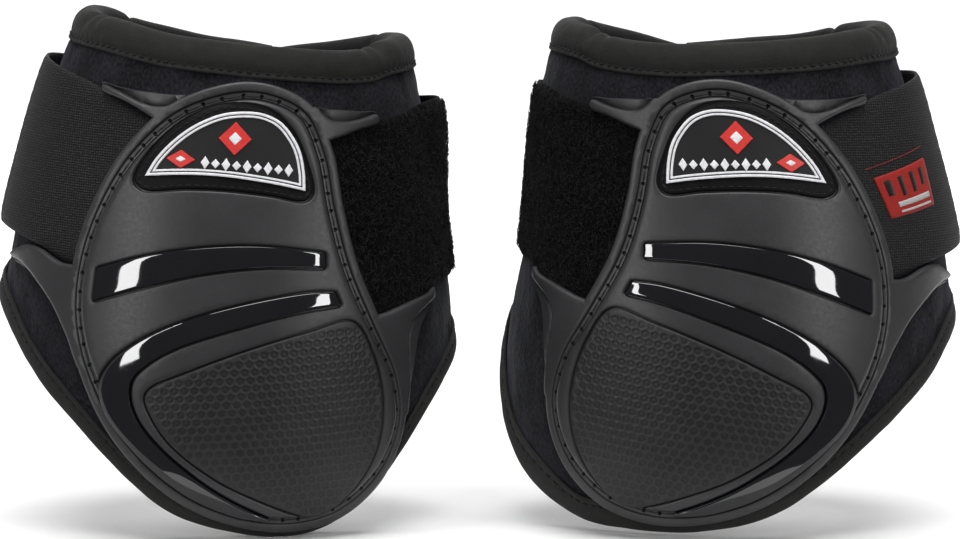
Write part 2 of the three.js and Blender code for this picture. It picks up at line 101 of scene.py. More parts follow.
# ---- Lines and surfaces -------------------------------------------------------------------
def line(points):
    """A smooth line through (x, y) points, straight beyond both ends."""
    xs, ys = np.array(points, float).T
    rises = np.diff(ys) / np.diff(xs)
    slopes = np.concatenate([rises[:1], (ys[2:] - ys[:-2]) / (xs[2:] - xs[:-2]), rises[-1:]])

    def value(x):
        x = np.asarray(x, float)
        i = np.clip(np.searchsorted(xs, x, side="right") - 1, 0, len(xs) - 2)
        span = xs[i + 1] - xs[i]
        t = np.clip((x - xs[i]) / span, 0, 1)
        ease = t * t * (3 - 2 * t)
        bend = slopes[i] * (t - 2 * t**2 + t**3) + slopes[i + 1] * (t**3 - t**2)
        inner = ys[i] * (1 - ease) + ys[i + 1] * ease + bend * span
        below = np.minimum(x - xs[0], 0) * rises[0]
        above = np.maximum(x - xs[-1], 0) * rises[-1]
        return inner + below + above

    return value


def smooth(low, high, x):
    """0 up to low, 1 from high on, and an even ease between."""
    t = np.clip((np.asarray(x, float) - low) / (high - low), 0, 1)
    return t * t * (3 - 2 * t)


# The wrap's face: half its width at each height, and its depth as a share of that.
HALF_WIDTH = line([(0, 56), (25, 66.5), (55, 70), (85, 67.2), (115, 61.5), (145, 53.5), (161, 46)])
FRONT_DEPTH = 0.95
BACK_DEPTH = 0.85
NECK = (80, 150)          # the heights between which the neck's lean grows
# The wrap's upper edge, at each angle.
RIM = line([(-190, 147), (-150, 152), (-120, 157.5), (-90, 159), (-60, 157.5), (-30, 154.5), (0, 151.8),
            (30, 150.6), (48, 151.4), (60, 153.6), (90, 155), (120, 154), (150, 150), (168, 146.5)])
# Where the loop side can be flatter: the angles and heights between which it begins and ends.
FLAT_SIDE = {"begin": (40, 90), "end": (96, 138), "bottom": (10, 76), "top": (80, 140)}
# The wrap's lower edge, at each angle. The right boot's wrap hangs lower on its loop side.
FOOT_STRAP_SIDE = [(-190, 75), (-150, 75), (-120, 73), (-90, 68), (-70, 61.5), (-55, 49.5), (-40, 36),
                   (-28, 23.5), (-16, 12.5), (-5, 6.8), (8, 4), (20, 3.2)]
FOOT = {
    "left": line(FOOT_STRAP_SIDE + [(31, 5), (40, 10), (48, 19.5), (60, 37.5), (70, 47), (82, 54), (100, 61),
                                    (125, 68), (168, 74)]),
    "right": line(FOOT_STRAP_SIDE + [(31, 3), (40, 3), (48, 3.8), (57, 6.2), (67, 11), (75, 18), (83, 27),
                                     (91, 37), (102, 49), (116, 60), (136, 68), (168, 74)]),
}


def face(boot, u, z):
    """A place on the wrap's face in millimetres, before the boot leans and turns."""
    angle = np.radians(u)
    width = HALF_WIDTH(z)
    depth = width * np.where(np.cos(angle) > 0, FRONT_DEPTH, BACK_DEPTH)
    flat = smooth(*FLAT_SIDE["begin"], u) * (1 - smooth(*FLAT_SIDE["end"], u))
    flat = flat * smooth(*FLAT_SIDE["bottom"], z) * (1 - smooth(*FLAT_SIDE["top"], z))
    shift = boot["neck"] * smooth(*NECK, z) - boot["flatter"] * flat
    return np.stack([shift + width * np.sin(angle), -depth * np.cos(angle), z], -1)


def place(boot, u, z, offset):
    """Points in metres in the row frame."""
    u, z, offset = np.broadcast_arrays(*(np.asarray(v, float) for v in (u, z, offset)))
    step = 0.05
    around = face(boot, u + step, z) - face(boot, u - step, z)
    up = face(boot, u, z + step) - face(boot, u, z - step)
    outward = np.cross(around, up)
    outward /= np.linalg.norm(outward, axis=-1, keepdims=True)
    x, y, height = np.moveaxis(face(boot, u, z) + outward * offset[..., None], -1, 0)
    c, s = math.cos(boot["yaw"]), math.sin(boot["yaw"])
    x, y = boot["mirror"] * (x * c - y * s), x * s + y * c
    height = height - ORIGIN_HEIGHT
    c, s = math.cos(LEAN), math.sin(LEAN)
    return np.stack([x * c + height * s + boot["x"], y, height * c - x * s], -1) / 1000


def arc_per_degree(z):
    """Millimetres along the wrap's face for one degree of angle."""
    return np.radians(HALF_WIDTH(z) * FRONT_DEPTH)


def flatten(points):
    """(u, z) points as (arc, z) points, which are near enough a flat pattern of the wrap."""
    u, z = np.asarray(points, float).T
    return np.stack([u * arc_per_degree(z), z], -1)


def unflatten(points):
    """The u and the z of (arc, z) points."""
    arc, z = points.T
    return arc / arc_per_degree(z), z


def ripple(a, z, size, seed):
    """Smooth noise from -1 to 1 over the flat pattern, with features of the given size in mm."""
    table = np.random.default_rng(seed).uniform(-1, 1, (64, 64))
    x, y = np.asarray(a, float) / size + 500, np.asarray(z, float) / size + 500
    i, j = np.floor(x).astype(int), np.floor(y).astype(int)
    s, t = smooth(0, 1, x - i), smooth(0, 1, y - j)
    i, j, k, m = i % 64, j % 64, (i + 1) % 64, (j + 1) % 64
    low = table[i, j] * (1 - s) + table[k, j] * s
    high = table[i, m] * (1 - s) + table[k, m] * s
    return low * (1 - t) + high * t


# ---- Outlines -----------------------------------------------------------------------------
def spline(points, closed, steps=24):
    """A centripetal spline through points, as a dense row of points."""
    p = np.asarray(points, float)
    if closed:
        p = np.concatenate([p[-1:], p, p[:2]])
    else:
        p = np.concatenate([2 * p[:1] - p[1:2], p, 2 * p[-1:] - p[-2:-1]])
    a, b, c, d = p[:-3, None], p[1:-2, None], p[2:-1, None], p[3:, None]
    gap = lambda v, w: np.sqrt(np.linalg.norm(w - v, axis=-1, keepdims=True))
    ab, bc, cd = gap(a, b), gap(b, c), gap(c, d)
    start = ((b - a) / ab - (c - a) / (ab + bc) + (c - b) / bc) * bc
    end = ((c - b) / bc - (d - b) / (bc + cd) + (d - c) / cd) * bc
    t = (np.arange(steps) / steps)[None, :, None]
    ease = t * t * (3 - 2 * t)
    row = b * (1 - ease) + c * ease + start * (t - 2 * t**2 + t**3) + end * (t**3 - t**2)
    row = row.reshape(-1, 2)
    return row if closed else np.concatenate([row, p[-2:-1]])


def even(row, spacing, closed):
    """The same line with evenly spaced points."""
    path = np.concatenate([row, row[:1]]) if closed else row
    run = np.concatenate([[0], np.cumsum(np.linalg.norm(np.diff(path, axis=0), axis=1))])
    count = max(3, round(run[-1] / spacing))
    at = np.linspace(0, run[-1], count + 1)
    at = at[:-1] if closed else at
    return np.stack([np.interp(at, run, path[:, i]) for i in (0, 1)], -1)


def outline(points, spacing=0.8):
    """A smooth closed loop on the flat pattern through (u, z) points."""
    return even(flatten(spline(points, True)), spacing, True)


def inwards(loop, distance):
    """A closed loop moved inwards by a distance."""
    along = np.roll(loop, -1, 0) - np.roll(loop, 1, 0)
    along /= np.linalg.norm(along, axis=1, keepdims=True)
    area = np.sum(loop[:, 0] * np.roll(loop[:, 1], -1) - loop[:, 1] * np.roll(loop[:, 0], -1))
    inner = np.stack([-along[:, 1], along[:, 0]], -1) * np.sign(area)
    return loop + inner * distance


def signed_distance(points, loop):
    """How far points are from a closed loop, negative inside it."""
    a, b = loop, np.roll(loop, -1, 0)
    ab = b - a
    length = (ab**2).sum(1)
    result = np.empty(len(points))
    for start in range(0, len(points), 2000):
        p = points[start:start + 2000, None]
        t = np.clip(((p - a) * ab).sum(-1) / length, 0, 1)
        near = np.sqrt((((p - a) - ab * t[..., None]) ** 2).sum(-1).min(1))
        crosses = (a[:, 1] > p[..., 1]) != (b[:, 1] > p[..., 1])
        rise = np.where(ab[:, 1] == 0, 1e-12, ab[:, 1])
        left = p[..., 0] < a[:, 0] + (p[..., 1] - a[:, 1]) / rise * ab[:, 0]
        inside = (crosses & left).sum(1) % 2 == 1
        result[start:start + 2000] = np.where(inside, -near, near)
    return result


def nearest(points, loops):
    """How far points are from the nearest of some closed loops, negative inside one."""
    return np.min([signed_distance(points, loop) for loop in loops], axis=0)


def between(low, high, share):
    """Rows of heights from a row of low points to a row of high ones."""
    return low[:, None] + (high - low)[:, None] * share


# ---- Meshes -------------------------------------------------------------------------------
def volume(points, faces):
    """Six times the volume that the faces enclose, negative when they face inwards."""
    total = 0.0
    for size in {len(f) for f in faces}:
        corners = points[np.array([f for f in faces if len(f) == size])]
        for k in range(1, size - 1):
            total += np.einsum("ij,ij->", corners[:, 0], np.cross(corners[:, k], corners[:, k + 1]))
    return total


def piece(boot, name, points, faces, pattern, material, flat_faces=(), values=None, sharp=None,
          material_of=None):
    """A mesh object of one boot. pattern is the (arc, z) of each point, which the weaves follow, and
    values are each point's edge value: below 0 darker, as painted shade in grooves and hollows and a darker
    inner face on the rolls, and above 0 lighter, on raised edges."""
    name = f"{boot['side']}_{name}"
    if volume(points - points.mean(0), faces) < 0:
        faces = [f[::-1] for f in faces]
    mesh = bpy.data.meshes.new(name)
    mesh.from_pydata(points.tolist(), [], faces)
    mesh.shade_smooth()
    corner = np.empty(len(mesh.loops), np.int64)
    mesh.loops.foreach_get("vertex_index", corner)
    layer = mesh.uv_layers.new(name="Pattern")
    layer.uv.foreach_set("vector", np.asarray(pattern, np.float32)[corner].ravel())
    if values is not None:
        mesh.attributes.new("edge", "FLOAT", "POINT").data.foreach_set("value", values.astype(np.float32))
    for i in flat_faces:
        mesh.polygons[i].use_smooth = False
    if sharp:
        mesh.set_sharp_from_angle(angle=math.radians(sharp))
    for key in material if isinstance(material, list) else [material]:
        mesh.materials.append(MATERIALS[key])
    if material_of is not None:
        mesh.polygons.foreach_set("material_index", np.asarray(material_of, np.int32))
    obj = bpy.data.objects.new(name, mesh)
    bpy.context.scene.collection.objects.link(obj)
    return obj


def grid_faces(rows, columns, wrap_columns=False):
    """Quads between rows of points."""
    i = np.arange(rows - 1)[:, None] * columns
    j = np.arange(columns if wrap_columns else columns - 1)[None]
    k = (j + 1) % columns
    quads = np.stack([i + j, i + k, i + columns + k, i + columns + j], -1)
    return quads.reshape(-1, 4).tolist()


def closed_grid(count, size):
    """The faces of a row of closed sections with a flat cap at both ends, and the caps' indices."""
    faces = grid_faces(count, size, wrap_columns=True)
    faces += [list(range(size))[::-1], list(range((count - 1) * size, count * size))]
    return faces, (len(faces) - 2, len(faces) - 1)


def sweep(boot, name, us, offsets, heights, material, values=None):
    """A closed solid: a closed section at each u, joined up, with a flat cap at both ends."""
    u = np.broadcast_to(us[:, None], offsets.shape)
    points = place(boot, u, heights, offsets).reshape(-1, 3)
    faces, caps = closed_grid(*offsets.shape)
    run = np.cumsum(np.hypot(np.diff(offsets, axis=1, prepend=offsets[:, :1]),
                             np.diff(heights, axis=1, prepend=heights[:, :1])), axis=1)
    pattern = np.stack([u * arc_per_degree(heights), heights[:, :1] + run], -1).reshape(-1, 2)
    values = None if values is None else values.ravel()
    return piece(boot, name, points, faces, pattern, material, caps, values)


def tubes(boot, name, paths, radius, material, sides=6, taper=0.45):
    """Many closed threads in one piece. paths is (threads, points, [u, z, offset])."""
    spine = place(boot, paths[..., 0], paths[..., 1], paths[..., 2])
    count, length, _ = spine.shape
    along = np.gradient(spine, axis=1)
    along /= np.linalg.norm(along, axis=-1, keepdims=True)
    out = place(boot, paths[..., 0], paths[..., 1], paths[..., 2] + 1) - spine
    side = np.cross(along, out)
    side /= np.linalg.norm(side, axis=-1, keepdims=True)
    up = np.cross(side, along)
    turn = np.arange(sides) * 2 * math.pi / sides
    size = np.ones(length)
    size[[0, -1]] = taper
    ring = (side[:, :, None] * np.cos(turn)[:, None] + up[:, :, None] * np.sin(turn)[:, None])
    points = spine[:, :, None] + ring * (size[:, None, None] * radius / 1000)
    shell = np.array(grid_faces(length, sides, wrap_columns=True))
    start = (np.arange(count) * length * sides)[:, None, None]
    faces = (start + shell).reshape(-1, 4).tolist()
    caps = np.stack([np.arange(sides)[::-1], (length - 1) * sides + np.arange(sides)])
    faces += (start + caps).reshape(-1, sides).tolist()
    pattern = np.stack([paths[..., 0] * arc_per_degree(paths[..., 1]), paths[..., 1]], -1)
    pattern = np.repeat(pattern[:, :, None], sides, axis=2).reshape(-1, 2)
    return piece(boot, name, points.reshape(-1, 3), faces, pattern, material)


# ---- Reliefs: flat patterns with ridges and grooves -------------------------------------------
def filling(lines, spots, step, region, gap):
    """A grid of points in a region, clear of its edge, of the lines and of the spots by a gap."""
    low, high = lines.min(0), lines.max(0)
    xs = np.arange(low[0], high[0], step)
    ys = np.arange(low[1], high[1], step * 0.87)
    grid = np.array([(x + step / 2 * (j % 2), y) for j, y in enumerate(ys) for x in xs])
    grid = grid[region(grid) < -gap]
    fixed = np.concatenate([lines, spots]) if len(spots) else lines
    near = np.concatenate([
        np.sqrt(((grid[i:i + 500, None] - fixed) ** 2).sum(-1).min(1)) for i in range(0, len(grid), 500)])
    return grid[near > gap]


def boundary(triangles):
    """The edges that belong to one triangle only."""
    sides = np.concatenate([triangles[:, [0, 1]], triangles[:, [1, 2]], triangles[:, [2, 0]]])
    _, index, times = np.unique(np.sort(sides, 1), axis=0, return_index=True, return_counts=True)
    return sides[index[times == 1]]


def relief(rings, spots, step, region, gap=0.5):
    """Triangles over a region of the flat pattern whose edges follow the rings.
    Returns the points, the triangles and the boundary edges."""
    grid = filling(np.concatenate(rings), spots, step, region, gap)
    coordinates, edges = [], []
    for ring in rings:
        first = len(coordinates)
        coordinates += ring.tolist()
        edges += [(first + i, first + (i + 1) % len(ring)) for i in range(len(ring))]
    coordinates += [*np.asarray(spots).tolist(), *grid.tolist()]
    points, _, triangles, *_ = delaunay_2d_cdt([Vector(c) for c in coordinates], edges, [], 0, 1e-4, False)
    points = np.array([tuple(p) for p in points])
    triangles = np.array([t for t in triangles if len(t) == 3])
    middle = points[triangles].mean(1)
    triangles = triangles[region(middle) < 0]
    used, triangles = np.unique(triangles, return_inverse=True)
    triangles = triangles.reshape(-1, 3)
    return points[used], triangles, boundary(triangles)


def thread_ring(boot, name, holes, shares, heights, radius, sides=6):
    """A ring of stitches on the flat pattern from hole to hole. shares are places along a stitch."""
    count = len(shares)
    start, end = holes, np.roll(holes, -1, 0)
    u, z = unflatten((start[:, None] + (end - start)[:, None] * shares[:, None]).reshape(-1, 2))
    heights = np.tile(heights, (len(start), 1))
    paths = np.stack([u.reshape(-1, count), z.reshape(-1, count), heights], -1)
    rides(tubes(boot, name, paths, radius, "shell_thread", sides), boot, "boot")


def relief_piece(boot, name, pattern, top, under, material, values=None, sharp=None, material_of=None):
    """A closed solid whose upper face has the heights top and whose lower face has the heights under."""
    points, triangles, rim = pattern
    u, z = unflatten(points)
    count = len(points)
    both = np.concatenate([place(boot, u, z, top), place(boot, u, z, under)])
    walls = np.stack([rim[:, 1], rim[:, 0], rim[:, 0] + count, rim[:, 1] + count], -1)
    faces = triangles.tolist() + (triangles[:, ::-1] + count).tolist() + walls.tolist()
    if values is not None:
        values = np.concatenate([values, np.zeros(count)])
    if material_of is not None:
        material_of = np.concatenate([material_of, np.zeros(len(triangles) + len(rim))])
    return piece(boot, name, both, faces, np.concatenate([points, points]), material,
                 values=values, sharp=sharp, material_of=material_of)


# ---- Materials ----------------------------------------------------------------------------
class Shader:
    """A material under construction: its nodes, and short names for the ones it uses most."""

    def __init__(self, name, roughness, **constants):
        self.material = bpy.data.materials.new(name)
        self.material.use_nodes = True
        self.tree = self.material.node_tree
        self.surface = self.tree.nodes["Principled BSDF"]
        self.surface.inputs["Roughness"].default_value = roughness
        for socket, value in constants.items():
            self.surface.inputs[socket.replace("_", " ")].default_value = value
        self.pattern = self.node("ShaderNodeUVMap", uv_map="Pattern").outputs[0]

    def node(self, kind, inputs=None, **settings):
        made = self.tree.nodes.new(kind)
        for key, value in settings.items():
            setattr(made, key, value)
        for key, value in (inputs or {}).items():
            if isinstance(value, bpy.types.NodeSocket):
                self.tree.links.new(value, made.inputs[key])
            else:
                made.inputs[key].default_value = value
        return made

    def math(self, operation, a, b=0.0, c=0.0):
        return self.node("ShaderNodeMath", {0: a, 1: b, 2: c}, operation=operation).outputs[0]

    def noise(self, scale, detail=2.0, stretch=(1, 1, 1)):
        moved = self.node("ShaderNodeMapping", {"Vector": self.pattern, "Scale": stretch}).outputs[0]
        return self.node("ShaderNodeTexNoise", {"Vector": moved, "Scale": scale, "Detail": detail}).outputs[0]

    def wave(self, scale, turn=0.0, distortion=0.0):
        moved = self.node("ShaderNodeMapping", {"Vector": self.pattern, "Rotation": (0, 0, turn)}).outputs[0]
        return self.node("ShaderNodeTexWave", {"Vector": moved, "Scale": scale, "Distortion": distortion,
                                               "Detail": 1.0, "Detail Scale": 1.0}).outputs["Fac"]

    def ramp(self, value, low, high, out_low, out_high):
        """value, scaled from low..high to out_low..out_high and kept within that."""
        inputs = {0: value, 1: low, 2: high, 3: out_low, 4: out_high}
        return self.node("ShaderNodeMapRange", inputs).outputs[0]

    def edge(self):
        """The piece's edge value, from -1 to 1: below 0 darker, as painted shade in grooves and on the rolls'
        inner face, above 0 lighter, on raised edges.
        """
        return self.node("ShaderNodeAttribute", attribute_name="edge").outputs["Fac"]

    def mix(self, share, a, b):
        made = self.node("ShaderNodeMix", {0: share, 6: a, 7: b}, data_type="RGBA")
        return made.outputs[2]

    def color(self, value):
        self.tree.links.new(value, self.surface.inputs["Base Color"])

    def rough(self, value):
        self.tree.links.new(value, self.surface.inputs["Roughness"])

    def bump(self, *layers):
        """Each layer is (height, depth in mm); a height is 0 to 1."""
        normal = None
        for height, depth in layers:
            inputs = {"Height": height, "Strength": 1.0, "Distance": depth / 1000}
            if normal is not None:
                inputs["Normal"] = normal
            normal = self.node("ShaderNodeBump", inputs).outputs[0]
        self.tree.links.new(normal, self.surface.inputs["Normal"])


def grey(value, blue=1.0, green=1.0):
    """A grey with its blue and green scaled."""
    return (value, value * green, value * blue, 1.0)


def moulded(name, dark, light, roughness, grain=0.03, specular=0.4):
    """Matte moulded plastic: mottled, with a fine grain, lighter on raised edges, and near black in grooves
    as painted shade.
    """
    s = Shader(name, roughness, Specular_IOR_Level=specular)
    body = s.mix(s.ramp(s.noise(0.06, 3.0), 0.35, 0.65, 0, 1), dark, light)
    # Lighter where the edge value is above 0, on raised edges; painted shade, near black, where it falls
    # below 0, in grooves and hollows.
    lighter_edges = s.mix(s.ramp(s.edge(), 0, 1, 0, 0.55), body, grey(light[0] * 2.4))
    s.color(s.mix(s.ramp(s.edge(), 0, -1, 0, 0.85), lighter_edges, grey(dark[0] * 0.2)))
    s.rough(s.ramp(s.noise(0.9, 3.0), 0.3, 0.7, roughness - 0.05, roughness + 0.06))
    s.bump((s.noise(3.2, 3.0), grain), (s.noise(0.35, 2.0), grain * 1.5))
    return s.material


def glossy(name):
    """High gloss black plastic with fine hairline scratches and a slightly wavy surface."""
    s = Shader(name, 0.06, Coat_Weight=1.0, Coat_Roughness=0.03)
    s.color(s.mix(s.noise(0.1), grey(0.004, 1.3), grey(0.007, 1.4)))
    scratch = s.ramp(s.noise(1.5, 4.0, (0.15, 3, 1)), 0.62, 0.75, 0, 1)
    s.rough(s.ramp(scratch, 0, 1, 0.05, 0.14))
    s.bump((s.noise(0.12, 1.0), 0.05))
    return s.material


def brushed(name, dark, light, sheen, pile=0.12, sheen_tint=(1, 1, 1, 1)):
    """Brushed stretch cloth: short fibres in all directions, with soft mottling."""
    s = Shader(name, 0.9, Sheen_Weight=sheen, Sheen_Roughness=0.45, Sheen_Tint=sheen_tint,
               Specular_IOR_Level=0.08)
    patches = s.ramp(s.noise(0.09, 3.0), 0.3, 0.7, -0.3, 0.3)
    fibres = s.noise(1.3, 4.0, (1, 0.6, 1))
    tufts = s.math("ADD", s.ramp(fibres, 0.36, 0.66, 0, 1), patches)
    s.color(s.mix(tufts, dark, light))
    s.rough(s.ramp(fibres, 0.3, 0.7, 0.82, 0.97))
    s.bump((fibres, pile), (s.noise(0.4, 3.0), pile * 3.0))
    return s.material


def knitted(name, dark, light, sheen, pitch=0.42, depth=0.05):
    """Smooth stretch binding: a fine knit with crosswise stitches."""
    s = Shader(name, 0.8, Sheen_Weight=sheen, Sheen_Roughness=0.5, Specular_IOR_Level=0.1)
    ribs, rows = s.wave(0.31 / pitch), s.wave(0.36 / pitch, math.pi / 2)
    knit = s.math("MULTIPLY", ribs, rows)
    mottle = s.ramp(s.noise(0.07, 3.0), 0.3, 0.7, -0.25, 0.3)
    cloth = s.mix(s.math("ADD", knit, mottle), dark, light)
    # Darker, towards near black, where the edge value falls below 0: on the inner face of a collar or hem
    # roll.
    s.color(s.mix(s.ramp(s.edge(), -1, 0, 0.65, 0), cloth, grey(0.001)))
    s.rough(s.ramp(s.noise(0.4, 3.0), 0.3, 0.7, 0.7, 0.88))
    s.bump((knit, depth), (s.noise(0.3, 2.0), depth * 3))
    return s.material


def woven(name, dark, light, glint_colour):
    """Woven elastic webbing: warp ribs along the strap, weft across them, uneven yarn, and painted glints
    where the ribs cross.
    """
    s = Shader(name, 0.75, Sheen_Weight=0.03, Sheen_Roughness=0.4, Specular_IOR_Level=0.12)
    warp = s.wave(0.42, math.pi / 2, 1.6)
    weft = s.wave(0.36, 0.0, 1.4)
    twill = s.wave(0.24, math.radians(58), 2.2)
    yarn = s.noise(1.1, 3.0, (0.7, 1.5, 1))
    crossing = s.math("MULTIPLY_ADD", twill, 0.25, s.math("MULTIPLY", weft, 0.4))
    cloth = s.math("MULTIPLY_ADD", warp, 0.6, crossing)
    # Painted glints: lighter specks where the warp and weft crests meet, thinned out by the uneven yarn.
    glints = s.math("MULTIPLY", s.math("MULTIPLY", warp, weft), s.ramp(yarn, 0.42, 0.68, 0, 1))
    s.color(s.mix(glints, s.mix(cloth, dark, light), glint_colour))
    s.rough(s.ramp(yarn, 0.3, 0.7, 0.6, 0.85))
    s.bump((cloth, 0.16), (yarn, 0.06))
    return s.material


def printed(name, ink, roughness=0.42):
    """Raised printed rubber."""
    s = Shader(name, roughness, Specular_IOR_Level=0.4)
    s.color(s.mix(s.ramp(s.noise(0.8, 3.0), 0.35, 0.65, 0, 1), ink, tuple(c * 0.82 for c in ink[:3]) + (1,)))
    s.rough(s.ramp(s.noise(1.3, 2.0), 0.3, 0.7, roughness - 0.06, roughness + 0.1))
    s.bump((s.noise(2.5, 2.0), 0.02))
    return s.material


def threads(name, dark, light):
    """Twisted sewing thread."""
    s = Shader(name, 0.6, Sheen_Weight=0.05, Specular_IOR_Level=0.15)
    twist = s.wave(0.9, math.radians(35))
    s.color(s.mix(twist, dark, light))
    s.rough(s.ramp(s.noise(1.5), 0.3, 0.7, 0.5, 0.75))
    s.bump((twist, 0.05))
    return s.material


def label_cloth(name, dark, light):
    """Woven label: satin weave with a fine diagonal."""
    s = Shader(name, 0.6, Sheen_Weight=0.1, Sheen_Roughness=0.3, Specular_IOR_Level=0.2)
    weave = s.wave(1.0, math.radians(62), 0.5)
    across = s.wave(0.7, math.pi / 2)
    cloth = s.math("MULTIPLY_ADD", weave, 0.6, s.math("MULTIPLY", across, 0.4))
    s.color(s.mix(cloth, dark, light))
    s.rough(s.ramp(s.noise(0.6), 0.3, 0.7, 0.5, 0.7))
    s.bump((cloth, 0.1))
    return s.material


MATERIALS = {
    "shell": moulded("moulded_shell", grey(0.0215, 1.07), grey(0.0275, 1.07), 0.4, 0.03, 0.34),
    "hex": moulded("honeycomb_shell", grey(0.011, 1.07), grey(0.016, 1.07), 0.5, 0.02, 0.3),
    "gloss": glossy("gloss_black"),
    # A lighter matte material for the lower rib's facet: a painted reflection on the gloss rib.
    "painted_reflection": moulded("painted_reflection_facet", grey(0.018, 1.08), grey(0.022, 1.08), 0.5, 0.002, 0.3),
    "badge": moulded("badge_rubber", grey(0.002), grey(0.003), 0.6, 0.03, 0.12),
    "field": moulded("badge_field", grey(0.012), grey(0.015), 0.55, 0.02, 0.15),
    "white": printed("white_print", (0.78, 0.78, 0.80, 1)),
    "red": printed("red_print", (0.62, 0.025, 0.020, 1)),
    "foam": moulded("foam", grey(0.05), grey(0.07), 0.9),
    "liner": brushed("brushed_liner", grey(0.0045, 1.3), grey(0.0175, 1.25), 0.04, 0.16, (0.85, 0.88, 1, 1)),
    "lining": knitted("lining_knit", grey(0.006), grey(0.012), 0.05, 0.7, 0.08),
    "collar": knitted("collar_binding", grey(0.014, 0.97, 1.02), grey(0.024, 0.96, 1.03), 0.03),
    # The last grey is the colour of the painted glints on the weave.
    "strap": woven("woven_elastic", grey(0.002), grey(0.013, 1.03), grey(0.06, 1.03)),
    "loop": brushed("loop_pile", grey(0.0008), grey(0.003), 0.02, 0.3),
    "pile": brushed("loop_fibres", grey(0.0008), grey(0.015), 0.04, 0.02),
    "hook": moulded("hook_moulding", grey(0.008), grey(0.012), 0.45),
    "label": label_cloth("red_label", (0.16, 0.006, 0.005, 1), (0.40, 0.022, 0.015, 1)),
    "label_dark": label_cloth("dark_label", (0.002, 0.002, 0.002, 1), (0.02, 0.008, 0.008, 1)),
    "label_pale": label_cloth("pale_label", (0.22, 0.2, 0.2, 1), (0.6, 0.58, 0.58, 1)),
    "shell_thread": threads("shell_thread", grey(0.006), grey(0.018)),
    "cloth_thread": threads("cloth_thread", grey(0.002), grey(0.010)),
    "red_thread": threads("red_thread", (0.10, 0.008, 0.008, 1), (0.35, 0.03, 0.02, 1)),
}

# ---- Joints that cloth crosses ----------------------------------------------------------------
# For each: the body it hangs on, the moving body, the hinge line's angle, which way the moving body
# lies from it, and how many degrees the bend reaches to each side.
CROSSINGS = {
    "strap_wing": ("boot", "strap_wing", -79, -1, 12),
    "loop_wing": ("boot", "loop_wing", 66, 1, 12),
    "strap_side": ("boot", "strap_side", -47, -1, 5),
    "strap_back": ("strap_side", "strap_back", -115, -1, 9),
    "strap_tip": ("strap_back", "strap_tip", -175, -1, 9),
}

BEND_HEIGHT = 110


def bend(obj, boot, crossing):
    """Bakes obj's placement into its mesh. The named hinge's ends are worked out but not used."""
    fixed, moving, u, way, reach = CROSSINGS[crossing]
    ends = [place(boot, u + way * t * reach, BEND_HEIGHT, 0).tolist() for t in (-1, 1)]
    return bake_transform(obj)


def rides(obj, boot, body):
    """obj moves with one body of its boot."""
    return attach(obj, f"{boot['side']}_{body}")


def stands_for(obj, boot, *nodes):
    """obj is seen in place of these CAD nodes of its boot."""
    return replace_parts(obj, *[f"{boot['side']}_{n}" for n in nodes])


def finish_half(obj, boot, half, layer):
    """A half of a wrap layer stands for its wing, and the strap's half for the front too."""
    front = [f"{layer}_front"] if half["part"] == "strap" else []
    stands_for(obj, boot, f"{layer}_{half['wing']}", *front)
    bend(obj, boot, half["wing"])


# ---- The wrap ---------------------------------------------------------------------------------
# The wrap is made as two halves that meet under the shell, one for each wing.
HALVES = [
    {"part": "strap", "end": -190, "wing": "strap_wing"},
    {"part": "loop", "end": 167.5, "wing": "loop_wing"},
]
STITCH = {"pitch": 2.7, "length": 0.66, "radius": 0.26}
# Rows of points up the outer face of a layer and down its inner one, and the layer's clearance
# from the wrap's two edges.
LINER = {"step": 1.5, "up": 46, "down": 9, "above_foot": 2.3, "below_rim": 2.6, "inner": -5, "most": 0.35}
LINING = {"step": 2.5, "up": 26, "down": 26, "above_foot": 9, "below_rim": 11.5, "inner": -7.3,
          "outer": -6.2}
# Each collar crease's angle, depth and width.
CREASES = [(-66, 1.0, 2.4), (-58, 0.5, 1.8), (56, 1.1, 2.2), (49, 0.4, 1.6), (-131, 0.8, 2.5),
           (118, 0.7, 2.5)]
WIDE_HEM = {"begin": (44, 66), "end": (94, 122)}     # the angles between which the hem widens and narrows
# A section is a closed line of (offset, height over the wrap's edge) points. The stitches run at the
# height stitch, on the offset seam, and swell is the depth of the roll's long waves.
COLLAR = {
    "part": "collar", "stitch": -9.0, "seam": 1.0, "swell": 0.42,
    "section": [(0.3, -9.2), (0.25, -10.2), (0.65, -10.5), (1.0, -10.3), (1.1, -9.9), (1.0, -9.4),
                (0.85, -9.0), (1.2, -8.3), (1.75, -7.0), (2.05, -5.4), (2.1, -4.1), (1.8, -2.7),
                (1.1, -1.4), (0, -0.45), (-1.5, 0.05), (-3.1, 0.15), (-4.7, -0.2), (-6.1, -1.0),
                (-7.1, -2.3), (-7.65, -4.2), (-7.7, -6.5), (-7.4, -8.6), (-6.95, -10.2),
                (-6.3, -10.5), (-5.85, -10.1), (-5.75, -7), (-5.7, -3), (-4.6, -2.0), (-1, -1.8),
                (0.2, -2.4)]}
HEM = {
    "part": "hem", "stitch": 6.3, "seam": 1.05, "swell": 0.34,
    "section": [(0.3, 6.4), (0.3, 8.1), (0.8, 8.4), (1.2, 7.9), (1.25, 7.0), (0.95, 6.3), (1.3, 5.6),
                (1.75, 4.4), (1.75, 3), (1.3, 1.4), (0.4, 0.3), (-1.2, -0.2), (-3.4, -0.3), (-5.2, 0.1),
                (-6.5, 1.0), (-7.1, 2.4), (-7.1, 5), (-6.9, 7.3), (-6.4, 7.9), (-5.95, 7.4), (-5.9, 4),
                (-5.6, 2.2), (-4.6, 1.8), (-1, 1.7), (0.2, 2.2)]}


def half_span(half, step):
    """The angles of a half's sections, close together at the front, where the halves meet."""
    way = np.sign(half["end"])
    count = round(abs(half["end"]) / step)
    return np.concatenate([way * np.array([0, 0.08, 0.3]), np.linspace(way * 0.7, half["end"], count)])


